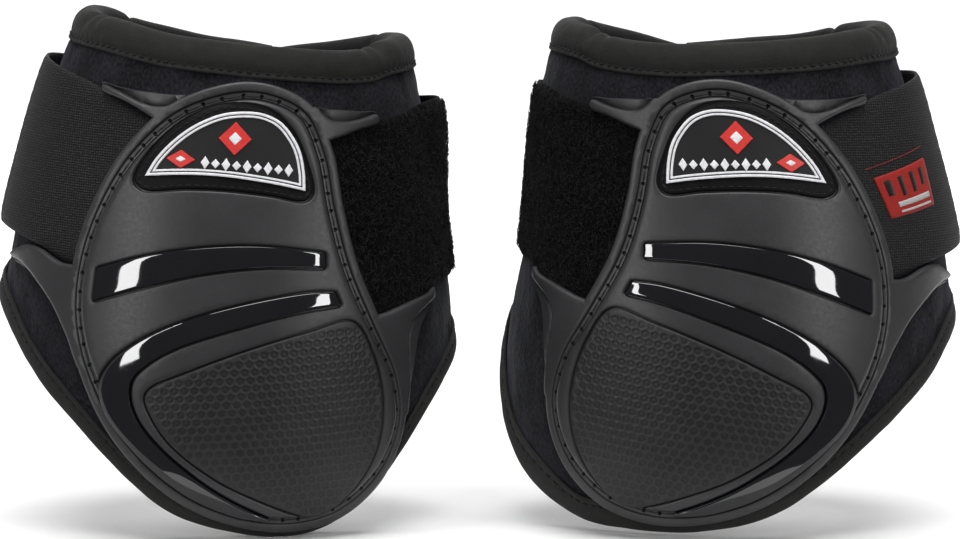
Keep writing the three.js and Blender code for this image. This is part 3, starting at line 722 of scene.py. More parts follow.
def layer_rows(boot, us, layer):
    """Heights from a layer's foot to its rim and back, its foot and rim, and the arcs of the rows."""
    rows = np.concatenate([np.linspace(0, 1, layer["up"]), np.linspace(1, 0, layer["down"])])
    low, high = FOOT[boot["side"]](us) + layer["above_foot"], RIM(us) - layer["below_rim"]
    z = between(low, high, rows)
    return z, low[:, None], high[:, None], us[:, None] * arc_per_degree(z)


def liner_half(boot, half):
    """Brushed cloth over foam, a little uneven, and puckered where the collar and hem pull on it."""
    us = half_span(half, LINER["step"])
    z, low, high, a = layer_rows(boot, us, LINER)
    seed = boot["seed"]
    uneven = 0.4 * ripple(a, z, 9, seed) + 0.22 * ripple(a, z, 3.2, seed + 1)
    near_edge = smooth(22, 9, high - z) + smooth(20, 6, z - low)
    puckers = 0.8 * near_edge * np.maximum(0, ripple(a * 1.4 + z * 0.5, z * 0.5, 5.5, seed + 2))
    outer = np.arange(z.shape[1]) < LINER["up"]
    off = np.where(outer, np.minimum(uneven - puckers, LINER["most"]), LINER["inner"])
    obj = sweep(boot, f"liner_{half['part']}", us, off, z, "liner")
    finish_half(obj, boot, half, "liner")


def lining_half(boot, half):
    """A smooth knit on the inside of the wrap."""
    us = half_span(half, LINING["step"])
    z, _, _, a = layer_rows(boot, us, LINING)
    inner = np.arange(z.shape[1]) >= LINING["up"]
    off = np.where(inner, LINING["inner"], LINING["outer"]) + 0.12 * ripple(a, z, 8, boot["seed"] + 5)
    obj = sweep(boot, f"lining_{half['part']}", us, off, z, "lining")
    finish_half(obj, boot, half, "lining")


def widening(boot, kind, u):
    """How much wider than its section an edge is: the right boot's hem is, low on its loop side."""
    lobe = smooth(*WIDE_HEM["begin"], u) * (1 - smooth(*WIDE_HEM["end"], u))
    return boot["wide_hem"] * lobe * (kind["part"] == "hem")


def long_waves(boot, kind, arc, up):
    """How far a roll swells outwards."""
    return kind["swell"] * ripple(arc, up * 0.4, 14, boot["seed"] + 11)


def wander(boot, arc):
    """How far a roll strays up and down."""
    return 0.5 * ripple(arc * 0.5, 0 * arc, 9, boot["seed"] + 13)


def edge_roll(boot, half, kind, edge):
    """A padded roll over the wrap's edge: the collar or the hem."""
    us = half_span(half, 0.9)
    shape = spline(kind["section"], True, 2)
    off = np.broadcast_to(shape[:, 0], (len(us), len(shape))).copy()
    up = np.broadcast_to(shape[:, 1], off.shape).copy()
    a = (us * arc_per_degree(edge(us)))[:, None]
    outer = smooth(-1.5, 0.6, off)
    bulge = long_waves(boot, kind, a, up) + 0.16 * ripple(a, up, 4.5, boot["seed"] + 12)
    near_seam = np.exp(-((up - kind["stitch"]) / 1.6) ** 2)
    pull = 0.14 * np.cos(2 * math.pi * a / STITCH["pitch"]) * near_seam
    off += outer * (bulge + pull)
    if kind is COLLAR:
        crease = sum(deep * np.exp(-((us[:, None] - at) / wide) ** 2) for at, deep, wide in CREASES)
        off -= 0.8 * crease * smooth(-8, -3, up) * outer
        up -= 1.5 * crease * smooth(-6, 0, up)
    up *= 1 + widening(boot, kind, us)[:, None] * smooth(-1.5, 0.6, shape[:, 0])
    z = edge(us)[:, None] + up + wander(boot, a)
    # The edge values make the roll's inner face darker.
    obj = sweep(boot, f"{kind['part']}_{half['part']}", us, off, z, "collar",
                values=-smooth(-1.5, -4.5, off))
    finish_half(obj, boot, half, kind["part"])


def edge_stitches(boot, half, kind, edge):
    """A slightly uneven row of stitches along the collar or the hem."""
    way = 1 if half["end"] > 0 else -1
    dense = np.linspace(0, abs(half["end"]) - 1, 4000)
    arcs = np.diff(dense) * arc_per_degree(edge(way * dense[1:]) + kind["stitch"])
    run = np.concatenate([[0], np.cumsum(arcs)])
    starts = np.arange(0.4, run[-1] - STITCH["pitch"], STITCH["pitch"])
    random = np.random.default_rng(boot["seed"] + len(starts))
    starts += random.uniform(-0.22, 0.22, len(starts))
    length = STITCH["pitch"] * STITCH["length"] * random.uniform(0.65, 1.1, len(starts))
    ends = starts[:, None] + length[:, None] * np.linspace(0, 1, 5)
    u = way * np.interp(ends, run, dense)
    arc = u * arc_per_degree(edge(u))
    arch = np.array([-0.12, 0.14, 0.2, 0.14, -0.12])
    lift = kind["seam"] + long_waves(boot, kind, arc, 0 * u + kind["stitch"])
    height = edge(u) + kind["stitch"] * (1 + widening(boot, kind, u)) + wander(boot, arc)
    row = tubes(boot, f"{kind['part']}_stitches_{half['part']}", np.stack([u, height, lift + arch], -1),
                STITCH["radius"], "cloth_thread")
    bend(row, boot, half["wing"])


# ---- Strap, loop panel, label -------------------------------------------------------------------
STRAP_LOW = line([(-222, 83.5), (-180, 84.5), (-150, 87), (-120, 90), (-95, 91), (-76, 90.1), (-54.6, 86.7),
                  (-42.6, 82.7), (-20, 82.5)])
STRAP_HIGH = line([(-222, 133), (-180, 134), (-150, 137), (-120, 140.5), (-90, 141.5), (-60, 138.5),
                   (-43.6, 134.9), (-24.6, 127.1), (-20, 125.5)])
STRAP_LIFT = line([(-222, 3.2), (-195, 3.2), (-175, 3), (-140, 3), (-110, 3.7), (-85, 3.8), (-62, 2.4),
                   (-47, 0.3), (-40, 0), (-20, 0)])
LOOP_LOW = line([(25, 80), (38, 71.5), (45, 71.5), (56, 75.5), (67, 79.8), (88, 82), (120, 84), (166, 84)])
LOOP_HIGH = line([(25, 128.5), (46, 129.8), (60, 131.5), (75, 134), (90, 134.5), (120, 133.5), (166, 131)])
WEB = 1.2         # the thickness of the strap and the loop panel
WEB_OFF = 0.4
STRAP_LENGTHS = [
    {"part": "fixed", "from": -23, "to": -81, "joint": "strap_side", "nodes": ["strap_base", "strap_side"]},
    {"part": "back", "from": -81, "to": -145, "joint": "strap_back", "nodes": ["strap_back"]},
    {"part": "end", "from": -145, "to": -216, "joint": "strap_tip", "nodes": ["strap_tip"]},
]
LOOP_SPAN = (25, 166)
FIBRES = {"count": 9000, "radius": 0.1, "reach": (0.5, 1.3), "tall": (0.35, 1.15), "stray": 0.35}
# Where the loop panel can stand out: the angles it rises and falls between, and the heights.
FLARE = {"rise": (66, 88), "fall": (100, 134), "upwards": (98, 132)}
PULL_TAB = {"from": -216.5, "to": -224, "low": 98, "high": 118}
HOOK = {"from": -194.5, "to": -215, "margin": 3, "off": 2.0, "radius": 0.13, "low": 89, "high": 129,
        "pitch": (1.1, 1.3)}
HOOK_CURL = np.array([(0, 0.75), (0, 0.3), (0.2, 0.05), (0.55, 0.1), (0.6, 0.35)])
LABEL = {"corners": [(-39.6, 112.2), (-62.5, 117.3), (-62.3, 103.4), (-43.5, 100.2)], "thick": 0.35,
         "thread": 0.12}
# The label's patches: the end of the name, then left, right, low and high as shares of the label.
LABEL_PATCHES = [
    ("bar_1", "label_dark", 0.12, 0.24, 0.5, 0.86), ("bar_2", "label_dark", 0.38, 0.46, 0.42, 0.86),
    ("bar_3", "label_dark", 0.6, 0.68, 0.42, 0.86), ("bar_4", "label_dark", 0.8, 0.88, 0.5, 0.86),
    ("pale_band", "label_pale", 0.24, 0.92, 0.2, 0.32), ("pale_line", "label_pale", 0.24, 0.92, 0.07, 0.12)]


def web_section(rows, thick, lip):
    """A flat web's section, from edge to edge over the top and back underneath: shares across it
    and heights."""
    inset = np.linspace(0, 1, rows)
    top = thick * (1 - 0.45 * np.exp(-np.minimum(inset, 1 - inset) * rows / lip))
    return np.concatenate([inset, inset[::-1]]), np.concatenate([top, np.zeros(rows)])


def strap_length(boot, span):
    """One length of the woven strap, with fine ribs along it."""
    us = np.linspace(span["from"], span["to"], 1 + round(abs(span["to"] - span["from"]) / 1.2))
    share, top = web_section(42, WEB, 1.1)
    z = between(STRAP_LOW(us), STRAP_HIGH(us), share)
    a = us[:, None] * arc_per_degree(z)
    ribs = 0.05 * np.cos(share * 42 / 41 * math.pi * 26) * (top > 0)
    soft = 0.16 * ripple(a, z, 17, boot["seed"] + 21)
    off = WEB_OFF + STRAP_LIFT(us)[:, None] + top + ribs + soft
    obj = sweep(boot, f"strap_{span['part']}", us, off, z, "strap")
    stands_for(obj, boot, *span["nodes"])
    bend(obj, boot, span["joint"])


def pull_tab(boot):
    """A ridged tab beyond the strap's end."""
    share, top = web_section(14, WEB, 1.4)
    us = np.linspace(PULL_TAB["from"], PULL_TAB["to"], 17)
    z = PULL_TAB["low"] + (PULL_TAB["high"] - PULL_TAB["low"]) * share + 0 * us[:, None]
    ridges = 0.25 * np.maximum(0, np.cos((us - us[0]) * 2.2))[:, None] * (top > 0)
    off = WEB_OFF + STRAP_LIFT(us)[:, None] + top + ridges
    tab = sweep(boot, "pull_tab_moulding", us, off, z, "shell")
    rides(stands_for(tab, boot, "pull_tab"), boot, "strap_tip")


def hook_pad(boot):
    """The pad's backing, and rows of small hooks on the face that presses on the loop panel."""
    us = np.linspace(HOOK["from"], HOOK["to"], 22)
    share, top = web_section(30, 0.5, 1.4)
    z = between(STRAP_LOW(us) + HOOK["margin"], STRAP_HIGH(us) - HOOK["margin"], share)
    pad = sweep(boot, "hook_backing", us, HOOK["off"] + 0.7 + top + 0 * z, z, "hook")
    rides(stands_for(pad, boot, "hook_pad"), boot, "strap_tip")
    columns = np.arange(HOOK["from"] - 0.6, HOOK["to"] + 0.4, -HOOK["pitch"][0])
    u, z = np.meshgrid(columns, np.arange(HOOK["low"], HOOK["high"], HOOK["pitch"][1]), indexing="ij")
    u, z = u.ravel()[:, None], (z.ravel() + 0.4 * (u.ravel() % 2))[:, None]
    along, out = HOOK_CURL.T
    paths = np.stack([u + along * 0.8, z + 0 * along, HOOK["off"] + out + 0 * z], -1)
    hooks = tubes(boot, "hooks", paths, HOOK["radius"], "hook", sides=4)
    rides(hooks, boot, "strap_tip")


def loop_lift(boot, u, z):
    """How far the loop panel stands out of its usual place."""
    lift = smooth(*FLARE["rise"], u) * (1 - smooth(*FLARE["fall"], u)) * smooth(*FLARE["upwards"], z)
    return boot["flare"] * lift


def loop_panel(boot):
    """The napped base of the loop panel."""
    us = np.linspace(*LOOP_SPAN, 190)
    share, top = web_section(64, WEB, 1.6)
    z = between(LOOP_LOW(us), LOOP_HIGH(us), share)
    a = us[:, None] * arc_per_degree(z)
    nap = 0.3 * ripple(a, z, 1.5, boot["seed"] + 31) + 0.25 * ripple(a, z, 3.4, boot["seed"] + 32)
    off = WEB_OFF + loop_lift(boot, us[:, None], z) + top + nap * (top > 0)
    obj = sweep(boot, "loop_panel_pile", us, off, z, "loop")
    bend(stands_for(obj, boot, "loop_base", "loop_panel"), boot, "loop_wing")


def loop_fibres(boot):
    """Loose arched fibres all over the loop panel."""
    random = np.random.default_rng(boot["seed"] + 33)
    count, stray = FIBRES["count"], FIBRES["stray"]
    u = random.uniform(LOOP_SPAN[0] + 0.5, LOOP_SPAN[1] - 0.5, count)
    share = random.uniform(0.025, 0.975, count)
    z = LOOP_LOW(u) + (LOOP_HIGH(u) - LOOP_LOW(u)) * share
    turn, reach = random.uniform(0, 2 * math.pi, count), random.uniform(*FIBRES["reach"], count)
    tall = random.uniform(*FIBRES["tall"], count)
    t = np.array([-1, -0.55, 0.1, 0.7, 1.0])
    arch = np.array([-0.6, 0.65, 1.0, 0.75, 0.2])
    wobble = random.uniform(-stray, stray, (count, len(t)))
    du = (np.cos(turn)[:, None] * reach[:, None] * t + wobble) / arc_per_degree(z)[:, None]
    dz = np.sin(turn)[:, None] * reach[:, None] * t + wobble[:, ::-1]
    base = WEB_OFF + WEB + loop_lift(boot, u, z)
    paths = np.stack([u[:, None] + du, z[:, None] + dz, base[:, None] + tall[:, None] * arch], -1)
    fibres = tubes(boot, "loop_fibres", paths, FIBRES["radius"], "pile", sides=3, taper=0.5)
    bend(fibres, boot, "loop_wing")


def on_label(across, up):
    """A place on the label from its own 0 to 1 coordinates."""
    corners = np.array(LABEL["corners"], float)
    across, up = np.broadcast_arrays(np.asarray(across, float), np.asarray(up, float))
    high = corners[0] + (corners[1] - corners[0]) * across[..., None]
    low = corners[3] + (corners[2] - corners[3]) * across[..., None]
    spot = low + (high - low) * up[..., None]
    return spot[..., 0], spot[..., 1]


def label_patch(boot, name, material, left, right, low, high, base, thick):
    """A rectangle of the label, in its own coordinates, on the strap."""
    across = np.linspace(left, right, max(3, round((right - left) * 26)))
    share, top = web_section(max(4, round((high - low) * 18)), thick, 0.9)
    u, z = on_label(across[:, None], low + (high - low) * share[None])
    off = base + STRAP_LIFT(u) + top
    faces, caps = closed_grid(*off.shape)
    pattern = np.stack([u * arc_per_degree(z), z], -1).reshape(-1, 2)
    obj = piece(boot, name, place(boot, u, z, off).reshape(-1, 3), faces, pattern, material, caps)
    return bend(obj, boot, "strap_side")


def strap_label(boot):
    """A red woven label: plain upright bars, two pale stripes, and a line of red stitches above it."""
    base = WEB_OFF + WEB + 0.02
    block = label_patch(boot, "woven_label", "label", 0, 1, 0, 1, base, LABEL["thick"])
    stands_for(block, boot, "strap_label")
    for end, material, *place_on in LABEL_PATCHES:
        label_patch(boot, f"label_{end}", material, *place_on, base + LABEL["thick"], LABEL["thread"])
    starts = np.linspace(-0.06, 0.98, 26)
    t = np.array([0, 0.2, 0.5, 0.8, 1])
    u, z = on_label(starts[:, None] + t * 0.028, 1.24)
    lift = base + np.array([-0.1, 0.1, 0.16, 0.1, -0.1])
    paths = np.stack([u, z, lift + STRAP_LIFT(u)], -1)
    row = tubes(boot, "label_stitches", paths, 0.16, "red_thread")
    bend(row, boot, "strap_side")


# ---- Shell ----------------------------------------------------------------------------------------
# Closed outlines of (u, z) points. A fin is an arm, which is thick, and a web, which is thin.
SHELL_OUTLINE = [(2, 139.5), (15, 138), (24, 132.5), (29, 120), (31, 104), (34.5, 87), (41, 70), (48, 55),
                 (51, 40), (47, 23), (37, 11.5), (22, 7), (5, 8.8), (-10, 15.5), (-24, 29.5), (-34, 48.5),
                 (-39.5, 68), (-40, 86), (-36, 104.5), (-29, 119.5), (-17, 132.5)]
ARMS = [
    [(-42.8, 136.0), (-36.5, 134.7), (-31.5, 133.0), (-26.8, 131.5), (-22.6, 130.8), (-18.8, 131.3),
     (-15.2, 133.2), (-12, 134.5), (-8, 130), (-16, 124), (-22.9, 127.4), (-29.2, 130.4), (-35, 132.3),
     (-42, 134.2)],
    [(46, 131.1), (41.5, 130.2), (36.8, 129.2), (32.5, 128.8), (28.9, 129.3), (26.6, 130.9), (24.4, 133),
     (18, 131), (22, 122), (30, 123.8), (38, 126.4), (46.4, 128.8)],
    [(64.8, 79.4), (61.8, 77.9), (52.8, 75.7), (43.6, 72.8), (36, 70), (38, 60), (46, 52), (47, 41),
     (51.05, 41.5), (51.6, 48), (51.2, 54.5), (50.5, 60), (50.3, 64.9), (51.5, 68.6), (54.3, 71.4),
     (59.7, 74.0), (64.6, 76.2)],
    [(-75.6, 82.3), (-68, 84.9), (-61, 86.5), (-54, 85.7), (-45, 82.6), (-37, 81.4), (-34, 70), (-31, 52),
     (-34.2, 51), (-40, 62), (-46.5, 71), (-56, 77.6), (-66, 80.6), (-75.2, 81.5)],
]
WEBS = [
    [(-44.2, 136.9), (-35.8, 135.9), (-30.2, 135.3), (-23.5, 135), (-17.2, 134.8), (-12, 135), (-8, 133),
     (-19, 129.5), (-23, 129.6), (-31, 131.6), (-42, 135.2)],
    [(46.2, 131.9), (40, 132.1), (34, 132.4), (28.9, 132.6), (23, 133.2), (20, 131), (28, 127.9), (33, 127.7),
     (41.5, 129.4), (46.2, 130.6)],
    [(65, 76.1), (60.8, 72.4), (56.9, 68.3), (54.9, 63.7), (53.8, 58.5), (53, 53.5), (52.2, 48), (51.4, 43),
     (49, 43.5), (49, 64), (50.5, 70), (58, 75)],
    [(-75.2, 81.0), (-64, 79.4), (-51, 73.8), (-42, 63.8), (-36.6, 52.3), (-33.4, 47.5), (-32, 52),
     (-38.5, 63), (-46, 72.5), (-56, 79), (-66, 81.4), (-74.6, 81.9)],
]
WINDOW = [(-24.6, 108.4), (-21.4, 117), (-14, 126), (-4.5, 131.6), (4, 132.6), (11, 130.8), (16.8, 125),
          (20.5, 115.5), (21.7, 107.5), (19.6, 105), (10.5, 106.3), (-0.5, 107.2), (-10.5, 107),
          (-21.6, 105.8)]
HEX_OUTLINE = [(31.5, 70), (20, 66.8), (5, 60.5), (-8, 53.5), (-15.5, 48.7), (-16.8, 46), (-15.8, 42),
               (-11, 33.5), (-1, 24.5), (10, 18.6), (23, 13.6), (27.5, 13.2), (34, 18.3), (39.4, 27.8),
               (41.3, 38), (40.5, 49), (37, 61)]
UPPER_RIB = {"from": -31.3, "to": 24.5,
             "low": line([(-31.3, 72.4), (-19, 77.5), (-5, 82.5), (9, 85.3), (24.5, 85.7)]),
             "high": line([(-31.3, 82), (-19, 86.7), (-5, 90.3), (9, 91.5), (24.5, 90)])}
LOWER_RIB = {
    "outer": [(27, 78.6), (19.5, 78.2), (4, 74), (-10, 67.8), (-20, 61), (-26.5, 54), (-28.6, 47.5),
              (-27, 40.5), (-21, 31.5), (-13, 23), (-3, 16.2), (7, 12.2), (15, 11.4)],
    "inner": [(28.5, 74.8), (19.5, 73), (3, 67), (-9.5, 61), (-16.5, 55.6), (-19.8, 51), (-20.3, 45.5),
              (-18, 38.5), (-12, 30.5), (-5, 24), (1, 19.6), (8, 15.6), (14.5, 12.6)]}
FIT = 0.35              # the clearance round each inset piece
BODY = 6.0              # heights over the wrap: the shell's raised body, its flange, the floor of
FLANGE = 4.15           # its pockets, and the underside of what sits in them
FLOOR = 4.45
PANEL_UNDER = 4.7
# The flange's section: how far in from the shell's edge, and how high.
FLANGE_IN = [0, 2.75, 2.95, 3.15, 3.35, 3.6, 5.0, 5.2, 5.4, 5.65, 6.1, 6.8, 7.6]
FLANGE_HIGH = [FLANGE, FLANGE, 3.95, 3.35, 3.95, 3.85, 3.8, 3.45, 3.45, 4.7, 5.55, 5.9, BODY]
# The fins' tops, which drop over a run of distances from the shell's edge; the needle holes; and the
# underside's heights along the shell's rim, where it covers the strap or loop panel, and further in.
FIN = {"arm_drop": 2.3, "arm_run": (6, 36), "web": 2.75, "web_drop": 1.3, "web_run": (6, 34)}
HOLE = {"deep": 1.3, "radius": (0.3, 0.72)}
UNDER = {"rim": 0.5, "over_web": 1.9, "middle": 2.4}
EDGE_ROUND = [0, 0.25, 0.6, 1.1]         # how far in from a thick edge it rounds off
POCKET_BRIM = [0, 0.12, 0.35, 0.7]       # how far out from a pocket its brim rises
SHELL_STITCH = {"inset": 4.3, "pitch": 5.3, "radius": 0.4, "sunk": 0.25}


def rib_edges(count):
    """Both edges of each rib as rows of (arc, z) points."""
    u = np.linspace(UPPER_RIB["from"], UPPER_RIB["to"], count)
    upper = [flatten(np.stack([u, UPPER_RIB[k](u)], -1)) for k in ("low", "high")]
    lower = []
    for key in ("outer", "inner"):
        row = spline(LOWER_RIB[key], False, 12)
        share = np.linspace(0, len(row) - 1, count)
        points = [np.interp(share, np.arange(len(row)), row[:, i]) for i in (0, 1)]
        lower.append(flatten(np.stack(points, -1)))
    return upper, lower


def loop_round(edges):
    """The closed loop round a rib, from its two edges."""
    return even(np.concatenate([edges[0], edges[1][::-1]]), 0.8, True)


def stitch_places(loop, inset, pitch):
    """Needle holes along a loop, a little unevenly spaced."""
    fine = even(inwards(loop, inset), 0.1, True)
    count = round(len(fine) * 0.1 / pitch)
    stray = np.random.default_rng(count).uniform(-0.09, 0.09, count)
    at = ((np.arange(count) + stray) * len(fine) / count).astype(int) % len(fine)
    return fine[at]


class ShellPattern:
    """The shell's flat pattern, which both boots share."""

    def __init__(self):
        self.shell = outline(SHELL_OUTLINE)
        self.arms = [outline(a, 0.6) for a in ARMS]
        self.webs = [outline(w, 0.6) for w in WEBS]
        upper, lower = rib_edges(120)
        self.pockets = [inwards(loop, -FIT) for loop in
                        (outline(WINDOW), outline(HEX_OUTLINE), loop_round(upper), loop_round(lower))]
        self.holes = stitch_places(self.shell, SHELL_STITCH["inset"], SHELL_STITCH["pitch"])
        self.flat = relief(self.rings(), self.spots(), 1.6, self.region)
        self.heights()

    def rings(self):
        """The lines that the triangles' edges follow."""
        rings = [inwards(self.shell, d) for d in (*FLANGE_IN, *EDGE_ROUND[1:])]
        for arm in self.arms:
            rings += [inwards(arm, d) for d in (*EDGE_ROUND, -0.3)]
        for web in self.webs:
            rings += [inwards(web, d) for d in (0, 0.35)]
        for pocket in self.pockets:
            rings += [inwards(pocket, -d) for d in POCKET_BRIM]
        return rings

    def spots(self):
        """The middle of each needle hole, and two rings of points round it."""
        turn = np.arange(8) * math.pi / 4
        circle = np.stack([np.cos(turn), np.sin(turn)], -1)
        rings = [(self.holes[:, None] + circle * r).reshape(-1, 2) for r in (0.35, 0.7)]
        return np.concatenate([self.holes, *rings])

    def region(self, points):
        """How far points are from the shell with its fins, negative inside."""
        return nearest(points, [self.shell, *self.arms, *self.webs])

    def heights(self):
        """Each point's upper and lower height, and its edge value: lighter raised edges, and painted shade in
        grooves, pockets and needle holes.
        """
        points = self.flat[0]
        shell = signed_distance(points, self.shell)
        thick = np.minimum(shell, nearest(points, self.arms))
        pocket = nearest(points, self.pockets)
        hole = np.sqrt(((points[:, None] - self.holes) ** 2).sum(-1).min(1))
        self.top = self.upper(shell, thick, nearest(points, self.webs), pocket, hole)
        self.under = np.minimum(self.lower(points, shell), self.top - 0.25)
        # Raised edges are lighter; grooves, pockets and needle holes are darkened as painted shade.
        raised = np.exp(-((-thick - 0.7) / 0.4) ** 2) + np.exp(-((-shell - 6.3) / 0.45) ** 2)
        shaded_hollows = [np.exp(-((-shell - 3.15) / 0.22) ** 2), np.exp(-((-shell - 5.3) / 0.25) ** 2),
                   (thick > 0.01) * np.exp(-((thick - 0.1) / 0.35) ** 2), pocket < 0.1, hole < 0.6]
        self.edge = np.where(shell < 0, 0.5, 0.35) * raised - np.max(shaded_hollows, axis=0)

    def upper(self, shell, thick, web, pocket, hole):
        """The flange and body with arms that drop outwards, thin webs, pockets and needle holes."""
        base = np.interp(-shell, FLANGE_IN, FLANGE_HIGH)
        base = np.where(shell > 0, FLANGE - FIN["arm_drop"] * smooth(*FIN["arm_run"], shell), base)
        base -= np.interp(-thick, EDGE_ROUND, [1.1, 0.42, 0.12, 0])
        thin = FIN["web"] - FIN["web_drop"] * smooth(*FIN["web_run"], shell)
        thin = thin - np.interp(-web, [0, 0.35], [0.5, 0])
        thin -= np.interp(thick, [0, 0.3, 0.6], [0.9, 0.7, 0])
        top = np.where(thick < 0.01, base, thin)
        brim = np.interp(pocket, POCKET_BRIM, [FLOOR, BODY - 0.4, BODY - 0.1, BODY + 1])
        return np.minimum(top, brim) - HOLE["deep"] * (1 - smooth(*HOLE["radius"], hole)) * (shell < -2)

    def lower(self, points, shell):
        """The underside, higher along the edges that cover the strap and the loop panel."""
        arc, z = points.T
        covers = ((arc < 0) & (z > 80)) | ((arc > 0) & (z > 71))
        rim = np.where(covers & (z < 131.5), UNDER["over_web"], UNDER["rim"])
        return rim + (UNDER["middle"] - rim) * smooth(4, 9, -shell)


def shell_piece(boot, pattern):
    """The moulded shell and the stitches in its channel."""
    obj = relief_piece(boot, "moulded_shell", pattern.flat, pattern.top, pattern.under, "shell",
                       values=pattern.edge, sharp=50)
    rides(stands_for(obj, boot, "shell"), boot, "boot")
    heights = np.array([3.2, 3.75, 3.85, 3.75, 3.2]) - SHELL_STITCH["sunk"]
    thread_ring(boot, "shell_stitches", pattern.holes, np.array([0.06, 0.14, 0.5, 0.86, 0.94]), heights,
                SHELL_STITCH["radius"], sides=8)


# ---- Ribs -----------------------------------------------------------------------------------------
FACET_DROP = 0.9      # how far the lower rib's facet, which carries the painted reflection, slopes down to its outer edge
LEAST_FACET = 0.45    # the width its columns keep where there is no facet
RIB_EDGE = {"in": [0, 0.1, 0.25, 0.5], "height": [5.7, 6.2, 6.42, 6.5]}
RIB_CROWN = 0.2


def rib_columns(width, wide):
    """Shares across a rib for each section: its outer edge and facet, its middle, its inner edge."""
    shares = []
    for w, f in zip(width, np.maximum(wide, LEAST_FACET)):
        outer_edge = [0, 0.1, 0.25, 0.25 + (f - 0.25) * 0.5, f, f + 0.12]
        inner_edge = [w - 0.5, w - 0.25, w - 0.1, w]
        middle = np.linspace(f + 0.12, w - 0.5, 9)[1:-1]
        shares.append(np.concatenate([outer_edge, middle, inner_edge]) / w)
    return np.array(shares)


def rib_heights(across, width, run, wide):
    """A rib's upper face: bevelled edges, a crowned middle, and a facet sloping to the outer edge."""
    side = np.minimum(across, 1 - across) * width[:, None]
    end = np.minimum(run, run[-1] - run)[:, None]
    crown = 1 - np.abs(2 * across - 1) ** 5
    top = np.interp(np.minimum(side, end), RIB_EDGE["in"], RIB_EDGE["height"])
    top += RIB_CROWN * crown * smooth(0, 3, end)
    into = across * width[:, None]
    slope = np.clip((wide[:, None] - into) / np.maximum(wide[:, None], LEAST_FACET), 0, 1)
    return top - FACET_DROP * slope * smooth(0.2, 1.2, wide)[:, None]


def slab_faces(rows, columns):
    """The upper faces of a slab, and its lower faces and walls. Its lower points follow the upper."""
    size = rows * columns
    upper = np.array(grid_faces(rows, columns))
    loop = np.concatenate([np.arange(columns), np.arange(1, rows) * columns + columns - 1,
                           (rows - 1) * columns + np.arange(columns - 1)[::-1],
                           np.arange(1, rows - 1)[::-1] * columns])
    walls = np.stack([loop, np.roll(loop, -1), np.roll(loop, -1) + size, loop + size], -1)[:, ::-1]
    return upper.tolist(), (upper[:, ::-1] + size).tolist() + walls.tolist()


def rib(boot, name, edges, node, facet=lambda share: 0 * share):
    """A gloss rib from its two edges. facet gives the width of its facet along its length, which has a
    lighter matte material as a painted reflection.
    """
    low, high = edges
    width = np.linalg.norm(high - low, axis=1)
    run = np.concatenate([[0], np.cumsum(np.linalg.norm(np.diff((low + high) / 2, axis=0), axis=1))])
    wide = facet(run / run[-1])
    across = rib_columns(width, wide)
    flat = (low[:, None] + (high - low)[:, None] * across[..., None]).reshape(-1, 2)
    top = rib_heights(across, width, run, wide)
    u, z = unflatten(flat)
    points = np.concatenate([place(boot, u, z, top.ravel()), place(boot, u, z, PANEL_UNDER)])
    shown, hidden = slab_faces(*across.shape)
    # The facet's faces take the lighter matte material, a painted reflection.
    painted_reflection = np.zeros((across.shape[0] - 1, across.shape[1] - 1), bool)
    painted_reflection[:, 2:4] = (wide[:-1] > 0.5)[:, None]
    painted_reflection = np.concatenate([painted_reflection.ravel(), np.zeros(len(hidden), bool)])
    obj = piece(boot, name, points, shown + hidden, np.concatenate([flat, flat]), ["gloss", "painted_reflection"],
                sharp=32, material_of=painted_reflection)
    rides(stands_for(obj, boot, node), boot, "boot")


def ribs(boot):
    """Both ribs. The lower one's facet starts part of the way along and widens."""
    upper, lower = rib_edges(150)
    rib(boot, "gloss_rib_upper", upper, "upper_gloss_rib")
    facet = line([(0, 0), (0.36, 0.0), (0.46, 0.7), (0.58, 2.0), (0.74, 3.5), (0.9, 3.9), (1, 1.2)])
    rib(boot, "gloss_rib_lower", lower, "lower_gloss_rib", lambda t: np.maximum(facet(t), 0))


# ---- Honeycomb panel ---------------------------------------------------------------------------------
# ridge is the width of a wall's slope, and ring and dome are radii inside a cell, all in mm. The rows
# of cells start from the middle and reach this many cells each way.
HEX = {"pitch": 2.65, "turn": math.radians(6), "top": 6.15, "ridge": 0.36, "ring": 0.66, "dome": 0.4,
       "middle": (14, 42), "reach": 34}
HEX_EDGE = [0, 0.15, 0.5]     # how far in from the panel's edge it rounds off


